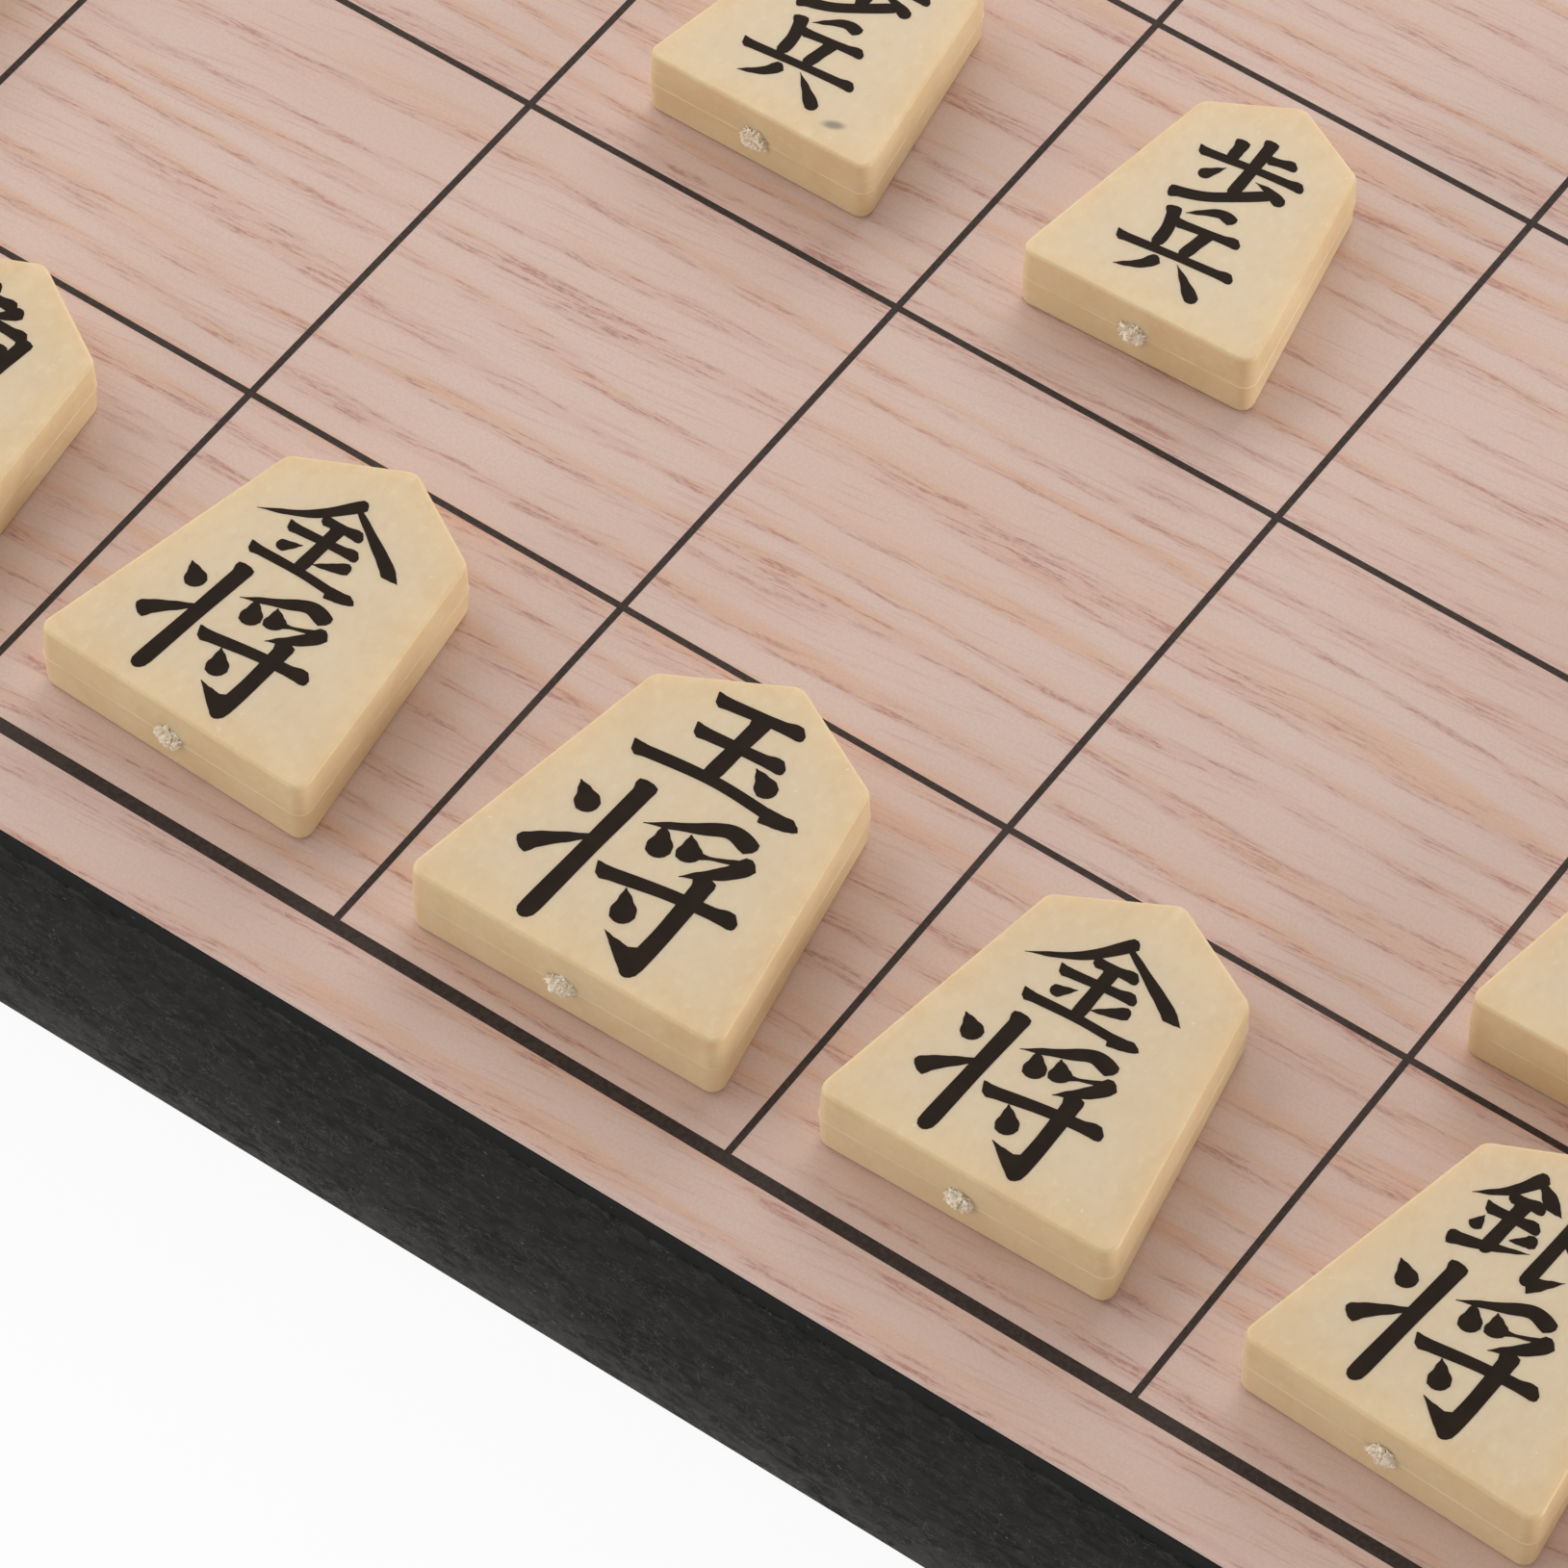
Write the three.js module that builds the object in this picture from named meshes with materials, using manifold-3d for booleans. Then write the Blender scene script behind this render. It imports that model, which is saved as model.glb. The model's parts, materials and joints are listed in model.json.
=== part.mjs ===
// A shogi board with a full set of pieces, in millimetres, +Z up.
// The board is a shallow black case: a thin panel with a printed playing sheet on a frame of rails,
// with a drawer at the left and at the right that holds the pieces when the game is put away.
// X runs along the ranks to the near player's right, Y runs away from the near player, and the
// origin is on the table, under the middle of the board.

import * as THREE from 'three';
import { mergeVertices } from 'three/addons/utils/BufferGeometryUtils.js';
import Module from 'manifold-3d';

const wasm = await Module();
wasm.setup();

// The playing field: cells are a little deeper than wide, so that they look square to a player.
const files = 9;
const ranks = 9;
const cellWidth = 30;
const cellDepth = 30.8;
const edgeMargin = 6.3;

// The case, from the table up.
const footHeight = 1.2;
const railHeight = 18.5;
const panelThickness = 1.8;
const sheetThickness = 0.3;
const baseThickness = 3;

// The rails, and the tongue of the near and far rails that covers the ends of the side rails.
const railThickness = 8;
const tongueThickness = 3;
const ribThickness = 6;

// The feet.
const footRadius = 6;
const footInset = 14;
const footChamfer = 0.3;
const footSides = 28;

// The drawers: the window in each side rail, which leaves a margin at the near and far ends and a
// head under the panel, what shows in it, and what slides behind it.
const windowMargin = 34.9;
const windowHead = 2.4;
const drawerGap = 0.4;
const frontThickness = 6;
const notchRadius = 14;
const notchDepth = 6;
const notchSteps = 16;
const trayDepth = 58;
const trayHeight = 11.5;
const trayFloor = 1.5;
const trayWall = 2;
const trayCorner = 4;
const earReach = 2.5;
const earLength = 5;
const bayWall = 3;
const dividerThickness = 1.6;
const dividerDrop = 1;
const dividerShare = 0.42;
const cutOverrun = 1;

// The pieces: a five-sided wedge, thick at its base and thin at its point, moulded in two halves.
// Each side leans in by the draft from the parting line, and its edges are eased.
const pieceKinds = {
  king: { width: 23.8, length: 26.5, thickness: 5.7 },
  rook: { width: 23.2, length: 26.0, thickness: 5.6 },
  bishop: { width: 23.2, length: 26.0, thickness: 5.6 },
  gold: { width: 21.8, length: 25.2, thickness: 5.5 },
  silver: { width: 21.8, length: 25.2, thickness: 5.5 },
  knight: { width: 20.6, length: 24.2, thickness: 5.4 },
  lance: { width: 19.2, length: 24.2, thickness: 5.4 },
  pawn: { width: 18.2, length: 21.7, thickness: 5.3 },
};
const sideLean = 9.2;
const roofSlope = 28.7;
const pointThicknessShare = 0.83;
const pieceDraft = 0.08;
const pieceEase = 0.35;
const pieceCorner = 1.3;
const cornerSteps = 3;

// Where the pieces stand: name, kind, file, rank, the shift to the right and forward from the middle
// of the cell as shares of the cell, and the turn in degrees, as a hand leaves them.
const nearPlaceShares = [
  ['king', 'king', 5, 9, 0.009, 0.028, 0.9],
  ['gold_left', 'gold', 6, 9, -0.014, 0.039, -1.8],
  ['gold_right', 'gold', 4, 9, -0.027, 0.053, 1.2],
  ['silver_left', 'silver', 8, 8, 0.022, 0.018, 1.4],
  ['silver_right', 'silver', 3, 9, 0.02, 0.045, -2.2],
  ['bishop', 'bishop', 7, 9, -0.02, 0.013, -2.5],
  ['rook', 'rook', 3, 8, -0.05, 0.006, 1],
  ['knight_left', 'knight', 8, 9, -0.016, 0.024, -1.1],
  ['knight_right', 'knight', 2, 9, 0.012, 0.035, 1.9],
  ['lance_left', 'lance', 9, 9, 0.018, 0.03, 1.6],
  ['lance_right', 'lance', 1, 9, -0.02, 0.021, -0.8],
  ['pawn_1', 'pawn', 1, 7, 0.015, 0.01, -1.3],
  ['pawn_2', 'pawn', 2, 7, -0.02, 0.022, 0.7],
  ['pawn_3', 'pawn', 3, 7, 0.01, 0.015, -0.6],
  ['pawn_4', 'pawn', 4, 6, -0.012, 0.02, 1.5],
  ['pawn_5', 'pawn', 5, 7, -0.017, 0.029, 2],
  ['pawn_6', 'pawn', 6, 7, 0.003, 0, 0.5],
  ['pawn_7', 'pawn', 7, 6, 0.02, -0.012, -1.7],
  ['pawn_8', 'pawn', 8, 7, -0.018, 0.016, 1.1],
  ['pawn_9', 'pawn', 9, 7, 0.014, 0.008, -0.9],
];
const farPlaceShares = [
  ['king', 'king', 5, 1, 0.012, -0.02, 1.3],
  ['gold_left', 'gold', 6, 1, -0.018, -0.03, -0.9],
  ['gold_right', 'gold', 4, 1, 0.016, -0.024, 1.7],
  ['silver_left', 'silver', 6, 2, 0.01, -0.016, 0.8],
  ['silver_right', 'silver', 3, 2, -0.022, -0.02, -1.5],
  ['bishop', 'bishop', 2, 2, 0.015, -0.01, 1],
  ['rook', 'rook', 8, 2, -0.01, -0.018, -1.2],
  ['knight_left', 'knight', 8, 1, 0.02, -0.026, 1.4],
  ['knight_right', 'knight', 2, 1, -0.014, -0.03, -0.7],
  ['lance_left', 'lance', 9, 1, 0.012, -0.022, -1.6],
  ['lance_right', 'lance', 1, 1, -0.018, -0.028, 0.9],
  ['pawn_1', 'pawn', 1, 3, 0.012, -0.014, 1.2],
  ['pawn_2', 'pawn', 2, 3, -0.01, -0.02, -0.8],
  ['pawn_3', 'pawn', 3, 4, 0.018, -0.01, 1.8],
  ['pawn_4', 'pawn', 4, 3, -0.015, -0.018, -1.1],
  ['pawn_5', 'pawn', 5, 4, 0.01, -0.012, 0.6],
  ['pawn_6', 'pawn', 6, 3, -0.02, -0.016, -1.9],
  ['pawn_7', 'pawn', 7, 3, 0.016, -0.022, 1],
  ['pawn_8', 'pawn', 8, 4, -0.012, -0.01, -0.5],
  ['pawn_9', 'pawn', 9, 3, 0.014, -0.018, 1.5],
];

// Worked out from the sizes above.
const boardWidth = files * cellWidth + 2 * edgeMargin;
const boardDepth = ranks * cellDepth + 2 * edgeMargin;
const halfWidth = boardWidth / 2;
const halfDepth = boardDepth / 2;
const railBottom = footHeight;
const railTop = railBottom + railHeight;
const baseTop = railBottom + baseThickness;
const sheetBottom = railTop + panelThickness;
const sheetTop = sheetBottom + sheetThickness;
const innerHalfWidth = halfWidth - railThickness;
const innerHalfDepth = halfDepth - railThickness;
const windowTop = railTop - windowHead;
const windowWidth = boardDepth - 2 * windowMargin;
const drawerBottom = baseTop + drawerGap;
const frontHalfWidth = windowWidth / 2 - drawerGap;
const frontBack = halfWidth - frontThickness;
const trayBack = frontBack - trayDepth;
const bayHalfWidth = windowWidth / 2 + earReach + drawerGap;
const bayBack = trayBack - drawerGap;

// Materials: matte black case, satin print, moulded cream and black plastics, soft feet.
const finish = {
  caseBlack: { color: 0x1d1e20, roughness: 0.85, metalness: 0 },
  caseInside: { color: 0x2b2a29, roughness: 0.9, metalness: 0 },
  printedSheet: { color: 0xc8afa3, roughness: 0.5, metalness: 0 },
  trayPlastic: { color: 0x242526, roughness: 0.55, metalness: 0 },
  piecePlastic: { color: 0xe3cc9f, roughness: 0.45, metalness: 0 },
  footFoam: { color: 0x161616, roughness: 0.95, metalness: 0 },
};

const board = new THREE.Group();

function addPiece(parent, name, geometry, look) {
  const mesh = new THREE.Mesh(geometry, new THREE.MeshStandardMaterial(look));
  mesh.name = name;
  parent.add(mesh);
  return mesh;
}

// A block between two corners.
function block(x0, x1, y0, y1, z0, z1) {
  const geometry = new THREE.BoxGeometry(x1 - x0, y1 - y0, z1 - z0);
  return geometry.translate((x0 + x1) / 2, (y0 + y1) / 2, (z0 + z1) / 2);
}

function outlineOf(points) {
  return new THREE.Shape(points.map(([x, y]) => new THREE.Vector2(x, y)));
}

// An outline in X and Y, raised from z0 by a height.
function raised(shape, z0, height) {
  const geometry = new THREE.ExtrudeGeometry(shape, { depth: height, bevelEnabled: false });
  return geometry.translate(0, 0, z0);
}

// An outline in Y and Z, run along X from x0 by a thickness.
function runAcross(shape, x0, thickness) {
  const geometry = new THREE.ExtrudeGeometry(shape, { depth: thickness, bevelEnabled: false });
  const axes = new THREE.Matrix4().makeBasis(
    new THREE.Vector3(0, 1, 0),
    new THREE.Vector3(0, 0, 1),
    new THREE.Vector3(1, 0, 0),
  );
  return geometry.applyMatrix4(axes).translate(x0, 0, 0);
}

function solidOf(geometry) {
  const bare = geometry.clone();
  bare.deleteAttribute('normal');
  bare.deleteAttribute('uv');
  const merged = mergeVertices(bare);
  return new wasm.Manifold(new wasm.Mesh({
    numProp: 3,
    vertProperties: Float32Array.from(merged.attributes.position.array),
    triVerts: Uint32Array.from(merged.index.array),
  }));
}

function geometryOf(solid) {
  const mesh = solid.getMesh();
  const geometry = new THREE.BufferGeometry();
  geometry.setAttribute('position', new THREE.BufferAttribute(mesh.vertProperties, 3));
  geometry.setIndex(new THREE.BufferAttribute(mesh.triVerts, 1));
  geometry.computeVertexNormals();
  return geometry;
}

// The near and far rails run the full width. A rabbet at each end takes the end of a side rail and
// leaves a tongue over it.
function crossRail(side) {
  const outer = side * halfDepth;
  const step = side * (halfDepth - tongueThickness);
  const inner = side * innerHalfDepth;
  return raised(outlineOf([
    [-halfWidth, outer],
    [halfWidth, outer],
    [halfWidth, step],
    [innerHalfWidth, step],
    [innerHalfWidth, inner],
    [-innerHalfWidth, inner],
    [-innerHalfWidth, step],
    [-halfWidth, step],
  ]), railBottom, railHeight);
}

// A side rail with the window of its drawer, whose sill is level with the base panel.
function sideRail(side) {
  const reach = halfDepth - tongueThickness;
  const shape = outlineOf([
    [-reach, railBottom],
    [reach, railBottom],
    [reach, railTop],
    [-reach, railTop],
  ]);
  const half = windowWidth / 2;
  shape.holes.push(outlineOf([
    [-half, baseTop],
    [-half, windowTop],
    [half, windowTop],
    [half, baseTop],
  ]));
  return runAcross(shape, Math.min(side * halfWidth, side * innerHalfWidth), railThickness);
}

// The bay behind a window: a U-shaped guide for the drawer's ears, which also carries the panel.
function drawerBay(side) {
  const outerHalf = bayHalfWidth + bayWall;
  return raised(outlineOf([
    [side * innerHalfWidth, -outerHalf],
    [side * innerHalfWidth, -bayHalfWidth],
    [side * bayBack, -bayHalfWidth],
    [side * bayBack, bayHalfWidth],
    [side * innerHalfWidth, bayHalfWidth],
    [side * innerHalfWidth, outerHalf],
    [side * (bayBack - bayWall), outerHalf],
    [side * (bayBack - bayWall), -outerHalf],
  ]), baseTop, railTop - baseTop);
}

// The board that closes the window, with a half-moon finger notch in its upper edge.
function drawerFront(side) {
  const top = windowTop - drawerGap;
  const half = frontHalfWidth;
  const centre = top + notchRadius - notchDepth;
  const reach = Math.acos((notchRadius - notchDepth) / notchRadius);
  const notch = [];
  for (let step = 0; step <= notchSteps; step += 1) {
    const turn = reach - (2 * reach * step) / notchSteps;
    notch.push([notchRadius * Math.sin(turn), centre - notchRadius * Math.cos(turn)]);
  }
  notch[0][1] = top;
  notch[notchSteps][1] = top;
  const shape = outlineOf([[-half, drawerBottom], [half, drawerBottom], [half, top], ...notch, [-half, top]]);
  return runAcross(shape, Math.min(side * halfWidth, side * frontBack), frontThickness);
}

// The tray: a floor and three walls, open to the front board. The ears at its back end are wider
// than the window, so they stop the drawer at the rail.
function drawerTray(side) {
  const half = frontHalfWidth;
  const earHalf = windowWidth / 2 + earReach;
  const outside = raised(outlineOf([
    [side * frontBack, -half],
    [side * frontBack, half],
    [side * (trayBack + earLength), half],
    [side * (trayBack + earLength), earHalf],
    [side * trayBack, earHalf],
    [side * trayBack, -earHalf],
    [side * (trayBack + earLength), -earHalf],
    [side * (trayBack + earLength), -half],
  ]), drawerBottom, trayHeight);
  const innerHalf = half - trayWall;
  const innerBack = trayBack + trayWall;
  const open = new THREE.Shape();
  open.moveTo(side * (frontBack + cutOverrun), -innerHalf);
  open.lineTo(side * (frontBack + cutOverrun), innerHalf);
  open.lineTo(side * (innerBack + trayCorner), innerHalf);
  open.quadraticCurveTo(side * innerBack, innerHalf, side * innerBack, innerHalf - trayCorner);
  open.lineTo(side * innerBack, -innerHalf + trayCorner);
  open.quadraticCurveTo(side * innerBack, -innerHalf, side * (innerBack + trayCorner), -innerHalf);
  const room = raised(open, drawerBottom + trayFloor, trayHeight - trayFloor + cutOverrun);
  return geometryOf(solidOf(outside).subtract(solidOf(room)));
}

function drawerDivider(side) {
  const middle = (dividerShare - 1 / 2) * windowWidth;
  const back = side * (trayBack + trayWall);
  const front = side * frontBack;
  const bottom = drawerBottom + trayFloor;
  return block(
    Math.min(back, front), Math.max(back, front),
    middle - dividerThickness / 2, middle + dividerThickness / 2,
    bottom, drawerBottom + trayHeight - dividerDrop,
  );
}

function foot() {
  const profile = [
    [0, 0],
    [footRadius - footChamfer, 0],
    [footRadius, footChamfer],
    [footRadius, footHeight],
    [0, footHeight],
  ];
  const points = profile.map(([r, z]) => new THREE.Vector2(r, z));
  return new THREE.LatheGeometry(points, footSides).rotateX(Math.PI / 2);
}

// The corners of a piece seen from above, from the left base corner round: base, shoulder, point.
function pieceCorners(kind) {
  const lean = Math.tan(THREE.MathUtils.degToRad(sideLean));
  const slope = Math.tan(THREE.MathUtils.degToRad(roofSlope));
  const half = kind.width / 2;
  const shoulder = (half - kind.length * lean) / (1 - lean * slope);
  const shoulderY = kind.length - shoulder * slope;
  return [
    [-half, 0],
    [half, 0],
    [shoulder, shoulderY],
    [0, kind.length],
    [-shoulder, shoulderY],
  ].map(([x, y]) => new THREE.Vector2(x, y - kind.length / 2));
}

// One ring of a piece's skin: its outline drawn in by an inset, with every corner an arc about the
// same centre, and each point raised to the height that the wedge has there.
function pieceRing(kind, inset, heightAt) {
  const corners = pieceCorners(kind);
  const outwards = corners.map((corner, index) => {
    const along = corners[(index + 1) % corners.length].clone().sub(corner).normalize();
    return new THREE.Vector2(along.y, -along.x);
  });
  const ring = [];
  corners.forEach((corner, index) => {
    const before = outwards[(index + corners.length - 1) % corners.length];
    const after = outwards[index];
    const inwards = before.clone().add(after).multiplyScalar(pieceCorner / (1 + before.dot(after)));
    const centre = corner.clone().sub(inwards);
    const start = before.angle();
    const sweep = Math.acos(before.dot(after));
    for (let step = 0; step <= cornerSteps; step += 1) {
      const turn = start + (sweep * step) / cornerSteps;
      const x = centre.x + (pieceCorner - inset) * Math.cos(turn);
      const y = centre.y + (pieceCorner - inset) * Math.sin(turn);
      const thickness = kind.thickness
        * (1 + (pointThicknessShare - 1) * (y / kind.length + 1 / 2));
      ring.push(new THREE.Vector3(x, y, heightAt(thickness)));
    }
  });
  return ring;
}

// A closed skin through a stack of rings with as many points each, capped at both ends.
function loft(rings) {
  const count = rings[0].length;
  const index = [];
  for (let level = 0; level + 1 < rings.length; level += 1) {
    for (let step = 0; step < count; step += 1) {
      const next = (step + 1) % count;
      const a = level * count + step;
      const b = level * count + next;
      index.push(a, b, b + count, a, b + count, a + count);
    }
  }
  const last = (rings.length - 1) * count;
  for (let step = 1; step + 1 < count; step += 1) {
    index.push(0, step + 1, step);
    index.push(last, last + step, last + step + 1);
  }
  const geometry = new THREE.BufferGeometry().setFromPoints(rings.flat());
  geometry.setIndex(index);
  geometry.computeVertexNormals();
  return geometry;
}

// The whole piece: foot edge, lower half, parting line, upper half, top edge.
function pieceSolid(kind) {
  return loft([
    pieceRing(kind, pieceDraft + pieceEase, () => 0),
    pieceRing(kind, pieceDraft, () => pieceEase),
    pieceRing(kind, 0, (thickness) => thickness / 2),
    pieceRing(kind, pieceDraft, (thickness) => thickness - pieceEase),
    pieceRing(kind, pieceDraft + pieceEase, (thickness) => thickness),
  ]);
}

// The case.
addPiece(board, 'play_sheet', block(
  -halfWidth, halfWidth, -halfDepth, halfDepth, sheetBottom, sheetTop,
), finish.printedSheet);
addPiece(board, 'top_panel', block(
  -halfWidth, halfWidth, -halfDepth, halfDepth, railTop, sheetBottom,
), finish.caseBlack);
addPiece(board, 'base_panel', block(
  -innerHalfWidth, innerHalfWidth, -innerHalfDepth, innerHalfDepth, railBottom, baseTop,
), finish.caseBlack);
addPiece(board, 'centre_rib', block(
  -ribThickness / 2, ribThickness / 2, -innerHalfDepth, innerHalfDepth, baseTop, railTop,
), finish.caseInside);
addPiece(board, 'near_rail', crossRail(-1), finish.caseBlack);
addPiece(board, 'far_rail', crossRail(1), finish.caseBlack);

// Each side: its rail and bay, and the drawer that slides out through the window.
for (const [name, side] of [['left', -1], ['right', 1]]) {
  addPiece(board, `${name}_rail`, sideRail(side), finish.caseBlack);
  addPiece(board, `${name}_drawer_bay`, drawerBay(side), finish.caseInside);
  const drawer = new THREE.Group();
  addPiece(drawer, `${name}_drawer_front`, drawerFront(side), finish.caseBlack);
  addPiece(drawer, `${name}_drawer_tray`, drawerTray(side), finish.trayPlastic);
  addPiece(drawer, `${name}_drawer_divider`, drawerDivider(side), finish.trayPlastic);
  board.add(drawer);
}

// The feet, under the corners of the base panel.
for (const [across, x] of [['left', -1], ['right', 1]]) {
  for (const [along, y] of [['near', -1], ['far', 1]]) {
    const pad = addPiece(board, `foot_${along}_${across}`, foot(), finish.footFoam);
    pad.position.set(x * (halfWidth - footInset), y * (halfDepth - footInset), 0);
  }
}

// The pieces: each player's point away from that player.
for (const [player, facing, places] of [['near', 0, nearPlaceShares], ['far', 180, farPlaceShares]]) {
  for (const [name, kind, file, rank, rightShare, forwardShare, turn] of places) {
    const piece = addPiece(board, `${player}_${name}`, pieceSolid(pieceKinds[kind]), finish.piecePlastic);
    piece.position.set(
      ((files + 1) / 2 - file + rightShare) * cellWidth,
      ((ranks + 1) / 2 - rank + forwardShare) * cellDepth,
      sheetTop,
    );
    piece.rotation.z = THREE.MathUtils.degToRad(facing + turn);
  }
}

export default board;
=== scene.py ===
# %% [markdown]
# # A shogi board with its pieces
# The board is a shallow black case with a printed wood-grain sheet on top and a drawer at each
# side. Forty cream plastic pieces stand on it, each a flat wedge with five sides and two black
# signs. The imported model gives the construction, and this lesson gives it its finish: surfaces,
# printed lines, moulded edges and brush strokes.
#
# The model is loaded first, because every piece takes its size and place from it.

# %% Load the imported board
import json
import math

import bmesh
import bpy
from mathutils import Matrix, Vector

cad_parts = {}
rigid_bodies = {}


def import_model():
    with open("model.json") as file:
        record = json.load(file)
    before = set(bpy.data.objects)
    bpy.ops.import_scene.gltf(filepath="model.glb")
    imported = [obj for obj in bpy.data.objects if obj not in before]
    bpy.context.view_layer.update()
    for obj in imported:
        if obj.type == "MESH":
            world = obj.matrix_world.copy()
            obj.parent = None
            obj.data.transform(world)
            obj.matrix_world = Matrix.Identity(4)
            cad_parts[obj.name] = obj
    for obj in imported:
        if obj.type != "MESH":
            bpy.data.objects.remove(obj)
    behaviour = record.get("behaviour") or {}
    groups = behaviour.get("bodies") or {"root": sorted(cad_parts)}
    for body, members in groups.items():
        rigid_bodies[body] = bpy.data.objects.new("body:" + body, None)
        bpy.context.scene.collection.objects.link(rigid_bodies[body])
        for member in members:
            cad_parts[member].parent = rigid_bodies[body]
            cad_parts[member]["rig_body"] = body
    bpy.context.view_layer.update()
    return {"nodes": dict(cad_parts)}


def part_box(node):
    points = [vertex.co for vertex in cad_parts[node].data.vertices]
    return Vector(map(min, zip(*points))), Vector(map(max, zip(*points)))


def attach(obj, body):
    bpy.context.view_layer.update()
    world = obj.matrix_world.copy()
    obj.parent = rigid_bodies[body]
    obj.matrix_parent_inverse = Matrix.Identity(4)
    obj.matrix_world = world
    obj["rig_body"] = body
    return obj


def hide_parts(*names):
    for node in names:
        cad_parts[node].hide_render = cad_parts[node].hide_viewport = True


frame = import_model()
nodes = frame["nodes"]

MM = 0.001


# %% [markdown]
# ## Where things are
# Heights are read from the solids. Only what is printed, and so has no solid, has sizes of its
# own: the cells, the lines and the four star dots. The border is printed a hair higher than the
# lattice, so that the two never share a plane.

# %% Heights and the printed grid
SHEET_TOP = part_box("play_sheet")[1].z
FILES = 9
RANKS = 9
CELL_WIDTH = 30 * MM
CELL_DEPTH = 30.8 * MM
FIELD_WIDTH = FILES * CELL_WIDTH
FIELD_DEPTH = RANKS * CELL_DEPTH
BORDER_LINE = 1.0 * MM
INNER_LINE = 0.5 * MM
STAR_RADIUS = 1.3 * MM
STAR_CELLS = 3
STAR_SIDES = 48
PRINT_DEPTH = 0.05 * MM
LATTICE_PROUD = 0.012 * MM
BORDER_PROUD = 0.018 * MM
print("sheet top at", round(SHEET_TOP / MM, 2), "mm")

# %% [markdown]
# ## The camera
# The photograph is taken from the near right, a little over half a metre away, with a long lens
# that hardly converges. Its place comes from the crossings of the printed grid. The camera is
# added level and aimed at one point of the sheet, and then it is rolled a little, because the
# photograph isn't quite level.

# %% Add and aim the camera
CAMERA_PLACE = Vector((182.07, -378.61, 455.74)) * MM
CAMERA_AIM = Vector((1.563, -113.222, 21.8)) * MM
CAMERA_ROLL = math.radians(1.4025)
FOCAL_LENGTH = 196.19  # in millimetres, as is the width of the sensor
SENSOR_WIDTH = 36
NEAREST_SEEN = 10 * MM
FARTHEST_SEEN = 20

bpy.ops.object.select_all(action="DESELECT")
bpy.ops.object.camera_add(location=CAMERA_PLACE)
camera = bpy.context.object
camera.name = "camera"
camera.data.lens = FOCAL_LENGTH
camera.data.sensor_width = SENSOR_WIDTH
camera.data.clip_start = NEAREST_SEEN
camera.data.clip_end = FARTHEST_SEEN
level = (CAMERA_AIM - CAMERA_PLACE).to_track_quat("-Z", "Y").to_matrix()
camera.rotation_euler = (level @ Matrix.Rotation(CAMERA_ROLL, 3, "Z")).to_euler()
bpy.context.scene.camera = camera
bpy.context.scene.view_settings.view_transform = "Standard"
print("camera", round((CAMERA_AIM - CAMERA_PLACE).length, 3), "m from the sheet")

# %% [markdown]
# ## Helpers for materials
# A printed or moulded surface is never one flat colour. Each material here is mixed from a few
# noises at their real size, so the helpers take sizes in millimetres. Object coordinates are in
# metres and move with the piece, so a pattern stays on a drawer that slides.

# %% Helpers that add nodes
def add_node(tree, kind, inputs=None, **settings):
    """A shader node with its settings, and with its inputs set or linked."""
    made = tree.nodes.new("ShaderNode" + kind)
    for name, value in settings.items():
        setattr(made, name, value)
    for name, value in (inputs or {}).items():
        if isinstance(value, bpy.types.NodeSocket):
            tree.links.new(value, made.inputs[name])
        else:
            made.inputs[name].default_value = value
    return made


def tree_of(*values):
    """The node tree that the first socket among the values belongs to."""
    return next(value for value in values if isinstance(value, bpy.types.NodeSocket)).id_data


def paint(hex_colour):
    """A colour written as it looks, as the linear values that a shader takes."""
    shares = [int(hex_colour[i:i + 2], 16) / 255 for i in (1, 3, 5)]
    linear = [s / 12.92 if s <= 0.04045 else ((s + 0.055) / 1.055) ** 2.4 for s in shares]
    return (*linear, 1)


def new_finish(name, hex_colour, roughness, specular):
    """A material with a plain shader, its shader and its object coordinates."""
    material = bpy.data.materials.new(name)
    material.use_nodes = True
    material.diffuse_color = paint(hex_colour)
    shader = material.node_tree.nodes["Principled BSDF"]
    shader.inputs["Base Color"].default_value = paint(hex_colour)
    shader.inputs["Roughness"].default_value = roughness
    shader.inputs["Specular IOR Level"].default_value = specular
    place = add_node(material.node_tree, "TexCoord").outputs["Object"]
    return material, shader, place


print("first node helpers ready")

# %% [markdown]
# The next helpers each give a socket that another one can read, so a finish is written as a
# chain from the coordinates to the shader.

# %% Helpers that make a pattern and join it to the shader
def sized(place, size_mm, turn=0):
    """Coordinates in which one step is size_mm long, in x, y and z or in all three alike."""
    sizes = size_mm if isinstance(size_mm, tuple) else (size_mm,) * 3
    return add_node(place.id_data, "Mapping", {
        "Vector": place, "Rotation": (0, 0, math.radians(turn)),
        "Scale": [mm * MM for mm in sizes]}, vector_type="TEXTURE").outputs[0]


def noise(place, size_mm, detail=2, rough=0.5, twist=0, turn=0):
    """Noise between 0 and 1 whose blots are about size_mm wide."""
    return add_node(place.id_data, "TexNoise", {
        "Vector": sized(place, size_mm, turn), "Scale": 1, "Detail": detail,
        "Roughness": rough, "Distortion": twist}).outputs[0]


def between(value, low, high, out_low=0, out_high=1):
    """The value as a share of the way from low to high, eased at both ends."""
    return add_node(value.id_data, "MapRange", {
        "Value": value, "From Min": low, "From Max": high, "To Min": out_low,
        "To Max": out_high}, interpolation_type="SMOOTHSTEP").outputs[0]


def maths(operation, a, b=0, c=0):
    """A sum, product or other operation on numbers and sockets."""
    return add_node(tree_of(a, b, c), "Math", {0: a, 1: b, 2: c}, operation=operation).outputs[0]


def times(a, b):
    """The product of two numbers or sockets."""
    return maths("MULTIPLY", a, b)


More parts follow.
